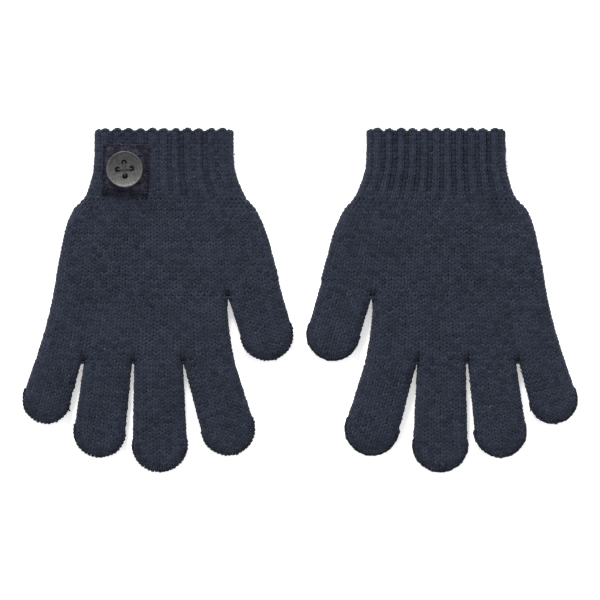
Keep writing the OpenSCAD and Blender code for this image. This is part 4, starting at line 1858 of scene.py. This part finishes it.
class ButtonSet:
    """The felt patch, the button on it and the thread through both."""

    def __init__(self, surface: KnitSurface, tree: StitchTree, finishes: Finishes) -> None:
        """Reads the places of the patch and the button from the frame.

        Args:
            surface: The glove under the patch.
            tree: The node tree that sets the fibres.
            finishes: The finishes of the pair.
        """
        self.surface = surface
        self.tree = tree
        self.finishes = finishes
        low, high = (np.array(corner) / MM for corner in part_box("button"))
        self.middle = (low + high)[:2] / 2
        self.radius = (high - low)[0] / 2
        self.base = low[2]
        self.top = high[2]
        self.sizes = ButtonPlan()
        self.face = self.top - self.sizes.dish
        self.draw = np.random.default_rng(91)

    def build(self) -> list[Object]:
        """Makes the patch, the nap, the button and the thread.

        Returns:
            The pieces.
        """
        patch = self.patch()
        nap = self.nap()
        return [patch, nap, self.button(), self.thread()]

    def on_patch(self, u: Array, v: Array) -> Array:
        """Places on the cuff, as x and y, of the places u and v on the patch.

        Args:
            u: Places across the patch.
            v: Places along it.

        Returns:
            The places.
        """
        turn = math.radians(self.sizes.patch_turn)
        c, s = math.cos(turn), math.sin(turn)
        return np.column_stack([self.middle[0] + c * u - s * v, self.middle[1] + s * u + c * v])

    def felt_bottom(self, xy: Array) -> Array:
        """Height of the felt's underside: it lies over the ribs without dipping into their channels.

        Args:
            xy: Places, as x and y.

        Returns:
            The heights, in mm.
        """
        mirrored = xy * np.array([-1, 1])
        over = self.surface.height(mirrored, Face.TOP) + self.surface.channel(mirrored)
        return over + 0.12 - 0.25 * smooth_step(np.abs(xy[:, 0] - self.middle[0]), 6, 11)

    def edge_out(self, along: Array, side: int) -> Array:
        """How far the torn edge of the felt reaches out of its outline, in mm."""
        return (0.38 * np.sin(along * 1.9 + side * 1.7) + 0.30 * np.sin(along * 4.3 + side)
                + 0.2 * np.sin(along * 9.1 + 2 * side) - self.sizes.torn_in[side])

    def patch(self) -> Object:
        """The felt square with its uneven edges.

        Returns:
            The piece.
        """
        nu, nv = self.sizes.patch_steps
        a, b = np.meshgrid(np.linspace(-1, 1, nu + 1), np.linspace(-1, 1, nv + 1))
        a, b = a.ravel(), b.ravel()
        half_w, half_l = (size / 2 for size in self.sizes.patch_size)
        u, v = a * half_w, b * half_l
        u = u + np.abs(a) ** 6 * np.sign(a) * np.where(a > 0, self.edge_out(v, 0), self.edge_out(v, 1))
        v = v + np.abs(b) ** 6 * np.sign(b) * np.where(b > 0, self.edge_out(u, 2), self.edge_out(u, 3))
        xy = self.on_patch(u, v)
        bottom = self.felt_bottom(xy)
        rim = np.maximum(np.abs(a), np.abs(b))
        lumps = 0.10 * np.sin(u * 1.7 + 0.8 * v) + 0.08 * np.sin(v * 2.3 - 1.1 * u) + 0.05 * np.sin(u * 5.1 + v * 3.7)
        thick = self.sizes.felt * (1 - self.sizes.thin_edge * smooth_step(rim, 0.80, 1.0)) + lumps
        thick = np.minimum(thick, self.base - 0.06 - bottom)
        top = np.column_stack([xy, bottom + thick])
        under = np.column_stack([xy, bottom])
        count = len(top)
        faces: Faces = []
        row = nu + 1
        for j in range(nv):
            for i in range(nu):
                q = (j * row + i, j * row + i + 1, (j + 1) * row + i + 1, (j + 1) * row + i)
                faces.append(q)
                faces.append(tuple(count + k for k in q[::-1]))
        border = ([i for i in range(nu)] + [j * row + nu for j in range(nv)]
                  + [nv * row + i for i in range(nu, 0, -1)] + [j * row for j in range(nv, 0, -1)])
        for p, q in zip(border, border[1:] + border[:1]):
            faces.append((p, count + p, count + q, q))
        verts = np.vstack([top, under]) * MM
        piece = new_mesh("patch_felt", verts, faces_out(verts, faces), shade=0.0)
        piece.data.materials.append(self.finishes.felt)
        self.bend(piece)
        return hand_in(piece, "patch")

    def bend(self, piece: Object) -> None:
        """Bakes the transform of a piece of the patch into its mesh; it doesn't bend the piece with the cuff.

        Args:
            piece: The piece.
        """
        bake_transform(piece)

    def nap(self) -> Object:
        """Loose fibres of the felt, thicker along its torn edges.

        Returns:
            The piece.
        """
        sites, draw, sizes = Sites(), self.draw, self.sizes
        half_w, half_l = (size / 2 for size in self.sizes.patch_size)
        count = sizes.fibres
        u, v = draw.uniform(-half_w, half_w, count), draw.uniform(-half_l, half_l, count)
        edge = draw.random(count) < sizes.edge_fibres
        side = draw.integers(0, 4, count)
        inward = np.abs(draw.normal(0, 0.5, count))
        u = np.where(edge & (side < 2), np.where(side == 0, 1, -1) * (half_w - inward), u)
        v = np.where(edge & (side >= 2), np.where(side == 2, 1, -1) * (half_l - inward), v)
        u, v = np.maximum(u, 0.5 - half_w), np.maximum(v, 0.7 - half_l)
        xy = self.on_patch(u, v)
        reach = np.hypot(*(xy - self.middle).T)
        free = (reach > self.radius - 0.6)
        xy, u, v, edge = xy[free], u[free], v[free], edge[free]
        z = self.felt_bottom(xy) + np.where(edge, 0.5, sizes.felt - 0.15)
        outward = unit(np.column_stack([u / half_w, v / half_l]) ** 5 + 1e-6)
        lean = np.column_stack([outward * np.where(edge, 0.9, 0.25)[:, None], np.full(len(u), 0.75)])
        lean = unit(lean + draw.normal(0, 0.45, lean.shape))
        size = np.column_stack([np.full((len(u), 2), sizes.fibre_width), draw.uniform(*sizes.fibre_length, len(u))])
        pale = np.where(draw.random(len(u)) < sizes.pale_fibres, 1.0, draw.uniform(0.0, 0.25, len(u)))
        sites.add(np.column_stack([xy, z]), lean, unit(draw.normal(0, 1, lean.shape)), size, pale, Stitch.FIBRE)
        piece = self.tree.bake("patch_nap", sites.mesh("nap_sites", 1), self.finishes.felt, None, Seed=17)
        self.bend(piece)
        return piece

    def profile(self) -> list[Lobe]:
        """The button's outline from the middle of its back to the middle of its face.

        Returns:
            The rings.
        """
        r, rise = self.radius, self.top - self.base
        back = [Lobe(0.0, 0.0), Lobe(3.0, 0.0), Lobe(r - 1.6, 0.0), Lobe(r - 0.75, 0.22), Lobe(r - 0.2, 0.75)]
        rim_middle, rim_r = (r - 0.4, rise - 0.4), 0.4
        rim = [Lobe(rim_middle[0] + rim_r * math.cos(a), rim_middle[1] + rim_r * math.sin(a),
                    0.75 * max(math.sin(a), 0) ** 2)
               for a in np.radians(np.linspace(-25, 150, 12))]
        face_r = r - 0.95
        dish = self.sizes.dish
        face = [Lobe(face_r * q, rise - dish + (dish - 0.26) * q ** 2.2, 0.10 * q ** 6)
                for q in np.linspace(0.985, 0.0, 34)]
        return back + rim + face

    def worn(self, y: float | Array) -> float | Array:
        """How much paler the metal is painted at a distance from the middle along Y: painted light, most on the side
        towards the hand, where the dished face turns to the lamp; it also makes the rim's rub stronger there.
        """
        return self.sizes.bare * (0.5 - 0.5 * y / self.radius) ** self.sizes.bare_power

    def button(self) -> Object:
        """The dished button with its rim and four sewing holes.

        Returns:
            The piece.
        """
        a = 2 * math.pi * np.arange(self.sizes.around) / self.sizes.around
        verts, rubbed = [], []
        lobes = self.profile()
        for lobe in lobes:
            if lobe.radius < 1e-6:
                verts.append(np.array([[0.0, 0.0, lobe.height]]))
                rubbed.append([lobe.rubbed + self.worn(0.0)])
            else:
                dents = 0.035 * np.sin(5 * a + 2.1 * lobe.radius) * np.sin(1.9 * lobe.radius + 3 * a)
                height = lobe.height + np.where(lobe.height > 1.2, dents, 0)
                verts.append(np.column_stack([lobe.radius * np.cos(a), lobe.radius * np.sin(a), height]))
                # Painted light: the metal is painted paler towards the hand, where the dish faces the lamp, and the
                # rim's rub is made stronger there.
                worn = self.worn(lobe.radius * np.sin(a))
                rubbed.append(np.minimum(lobe.rubbed * (0.3 + worn) + worn, 1.0))
        faces = ring_faces(len(lobes) - 2, self.sizes.around)
        points = np.vstack(verts) + np.array([*self.middle, self.base])
        piece = new_mesh("button_metal", points * MM, faces_out(points * MM, faces))
        piece.data.attributes["shade"].data.foreach_set("value", np.concatenate(rubbed).astype(np.float32))
        piece.data.materials.append(self.finishes.metal)
        for k in range(4):
            self.drill(piece, k * math.pi / 2 + math.radians(self.sizes.hole_turn))
        return hand_in(piece, "button", "button_body")

    def drill(self, piece: Object, turn: float) -> None:
        """Cuts one sewing hole with a soft lip.

        Args:
            piece: The button.
            turn: Direction of the hole from the button's middle.
        """
        at = self.middle + self.sizes.hole_at * np.array([math.cos(turn), math.sin(turn)])
        face, radius = self.face, self.sizes.hole_radius
        rings = [(radius, self.base - 1), (radius, face - 0.28), (radius + 0.07, face - 0.10),
                 (radius + 0.26, face + 0.08), (radius + 0.9, face + 0.75)]
        a = 2 * math.pi * np.arange(self.sizes.hole_around) / self.sizes.hole_around
        verts = [np.array([[*at, rings[0][1]]])]
        for r, z in rings:
            verts.append(np.column_stack([at[0] + r * np.cos(a), at[1] + r * np.sin(a), np.full(len(a), z)]))
        verts.append(np.array([[*at, rings[-1][1]]]))
        points, faces = np.vstack(verts) * MM, ring_faces(len(rings), len(a))
        cutter = new_mesh("drill", points, faces_out(points, faces))
        cut = piece.modifiers.new("hole", "BOOLEAN")
        cut.operation, cut.solver, cut.object = "DIFFERENCE", "EXACT", cutter
        bpy.context.view_layer.update()
        graph = bpy.context.evaluated_depsgraph_get()
        mesh = bpy.data.meshes.new_from_object(piece.evaluated_get(graph), depsgraph=graph)
        piece.modifiers.clear()
        piece.data = mesh
        bpy.data.objects.remove(cutter)

    def strand(self, path: Array, plies: int = 3, ply: float = 0.24, lay: float = 0.2,
               turns: float = 1.1) -> list[Shape]:
        """Twisted plies along a path.

        Args:
            path: Points of the path, in mm.
            plies: Number of plies.
            ply: Radius of a ply.
            lay: Distance of a ply's middle from the path.
            turns: Turns for each mm.

        Returns:
            The plies' shapes.
        """
        length = np.concatenate([[0], np.cumsum(np.linalg.norm(np.diff(path, axis=0), axis=1))])
        s = np.linspace(0, length[-1], max(int(length[-1] / 0.22), 12))
        line = np.column_stack([np.interp(s, length, path[:, k]) for k in range(3)])
        tangent = unit(np.gradient(line, axis=0))
        side = unit(np.cross(tangent, [0.31, 0.52, 0.79]))
        up = np.cross(side, tangent)
        radius = np.full(len(s), ply)
        shapes = []
        for k in range(plies):
            a = 2 * math.pi * (k / plies + 0.5 * turns * s)
            around = lay * (np.cos(a)[:, None] * side + np.sin(a)[:, None] * up)
            shapes.append(spindle_along(line + around, radius, 7, side, up))
        return shapes

    def thread(self) -> Object:
        """Two crossing strands through the holes, and the coil of thread that knots them inside the cuff.

        Returns:
            The piece.
        """
        sizes, face, inside = self.sizes, self.face, self.sizes.inside
        shapes = []
        for quarter, lift in ((0.0, 0.0), (90.0, sizes.strand_lift)):
            turn = math.radians(sizes.hole_turn + quarter)
            out = np.array([math.cos(turn), math.sin(turn)])
            q = np.linspace(-1, 1, 17)
            bar = np.column_stack([q * (sizes.hole_at - 0.15), 0 * q,
                                   face + 0.36 + lift * (1 - q ** 2) - 0.55 * q ** 8])
            down = np.linspace(face - 0.6, inside, 10)
            post = np.column_stack([np.full(10, sizes.hole_at), np.zeros(10), down])
            path = np.vstack([post[::-1] * np.array([-1, 1, 1]), bar, post])
            flat = np.column_stack([path[:, 0] * out[0], path[:, 0] * out[1], path[:, 2]])
            shapes += self.strand(flat + np.array([*self.middle, 0.0]))
        a = np.linspace(0, sizes.coil_turns * 2 * math.pi, 150)
        r = sizes.coil - 0.11 * a
        coil = np.column_stack([r * np.cos(a), r * np.sin(a), inside - 0.1 + 0 * a])
        shapes += self.strand(coil + np.array([*self.middle, 0.0]), turns=0.8)
        verts, faces, uvs = joined(shapes)
        piece = new_mesh("button_sewing_thread", verts * MM, faces, uvs, shade=0.45)
        piece.data.materials.append(self.finishes.thread)
        return hand_in(piece, "button_thread", "right_cuff_body")


# ---------------------------------------------------------------- studio


@dataclass(frozen=True)
class Studio:
    """A white floor, soft light from the cuffs' side and a camera straight above, in metres."""

    field: float = 0.252
    distance: float = 2.6
    sensor_mm: float = 36.0
    floor_size: float = 6.0
    floor_drop: float = 0.0006
    sky: float = 1.08
    key_power: float = 38.0
    key_size: float = 0.6
    key_from: tuple[float, float, float] = (-0.30, 1.35, 1.05)

    def build(self) -> None:
        """Sets the stage."""
        self.floor()
        self.light()
        self.camera()

    def floor(self) -> None:
        """The floor just under the gloves."""
        h = self.floor_size / 2
        corners = np.array([(-h, -h, 0), (h, -h, 0), (h, h, 0), (-h, h, 0)]) - np.array([0, 0, self.floor_drop])
        floor = new_mesh("floor", corners, [(0, 1, 2, 3)])
        floor.data.materials.append(FloorFinish().material())

    def light(self) -> None:
        """An even white sky and one broad lamp."""
        scene = bpy.context.scene
        scene.world = bpy.data.worlds.new("sky")
        scene.world.use_nodes = True
        back = scene.world.node_tree.nodes["Background"]
        back.inputs["Color"].default_value = (1.0, 1.0, 1.0, 1.0)
        back.inputs["Strength"].default_value = self.sky
        lamp = bpy.data.lights.new("key", "AREA")
        lamp.shape, lamp.size, lamp.energy = "DISK", self.key_size, self.key_power
        key = bpy.data.objects.new("key", lamp)
        key.location = self.key_from
        key.rotation_euler = (-Vector(self.key_from)).to_track_quat("-Z", "Y").to_euler()
        scene.collection.objects.link(key)
        scene.view_settings.view_transform = "Standard"

    def camera(self) -> None:
        """A long lens straight above the pair, with the cuffs at the top."""
        data = bpy.data.cameras.new("camera")
        data.sensor_width = self.sensor_mm
        data.lens = self.sensor_mm * self.distance / self.field
        data.clip_end = 50
        camera = bpy.data.objects.new("camera", data)
        camera.location = (0, 0, self.distance)
        bpy.context.scene.collection.objects.link(camera)
        bpy.context.scene.camera = camera


def main() -> None:
    """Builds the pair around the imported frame."""
    logging.basicConfig(level=logging.INFO, format="%(name)s %(message)s")
    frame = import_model()
    Studio().build()
    finishes = Finishes.mixed()
    shapes = StitchShapes()
    tree = StitchTree(shapes)
    plan = GlovePlan()
    surfaces = {Hand.RIGHT: KnitSurface(plan, 0.7, (3.0, 5.0), 0.4), Hand.LEFT: KnitSurface(plan, 1.25, (), 2.3)}
    pieces: list[Object] = []
    for hand in Hand:
        pieces += Glove(hand, surfaces[hand], tree, finishes, SEED + hand.value).build()
        elastic = frame["nodes"][f"{hand.prefix}_cuff_elastic"]
        elastic.data.materials.clear()
        elastic.data.materials.append(finishes.elastic)
    pieces += ButtonSet(surfaces[Hand.RIGHT], tree, finishes).build()
    for piece in pieces:
        LOG.info("made %s: %d faces", piece.name, len(piece.data.polygons))
    for shape in list(shapes.box.objects):
        bpy.data.objects.remove(shape)
    bpy.data.collections.remove(shapes.box)


if __name__ == "__main__":
    main()
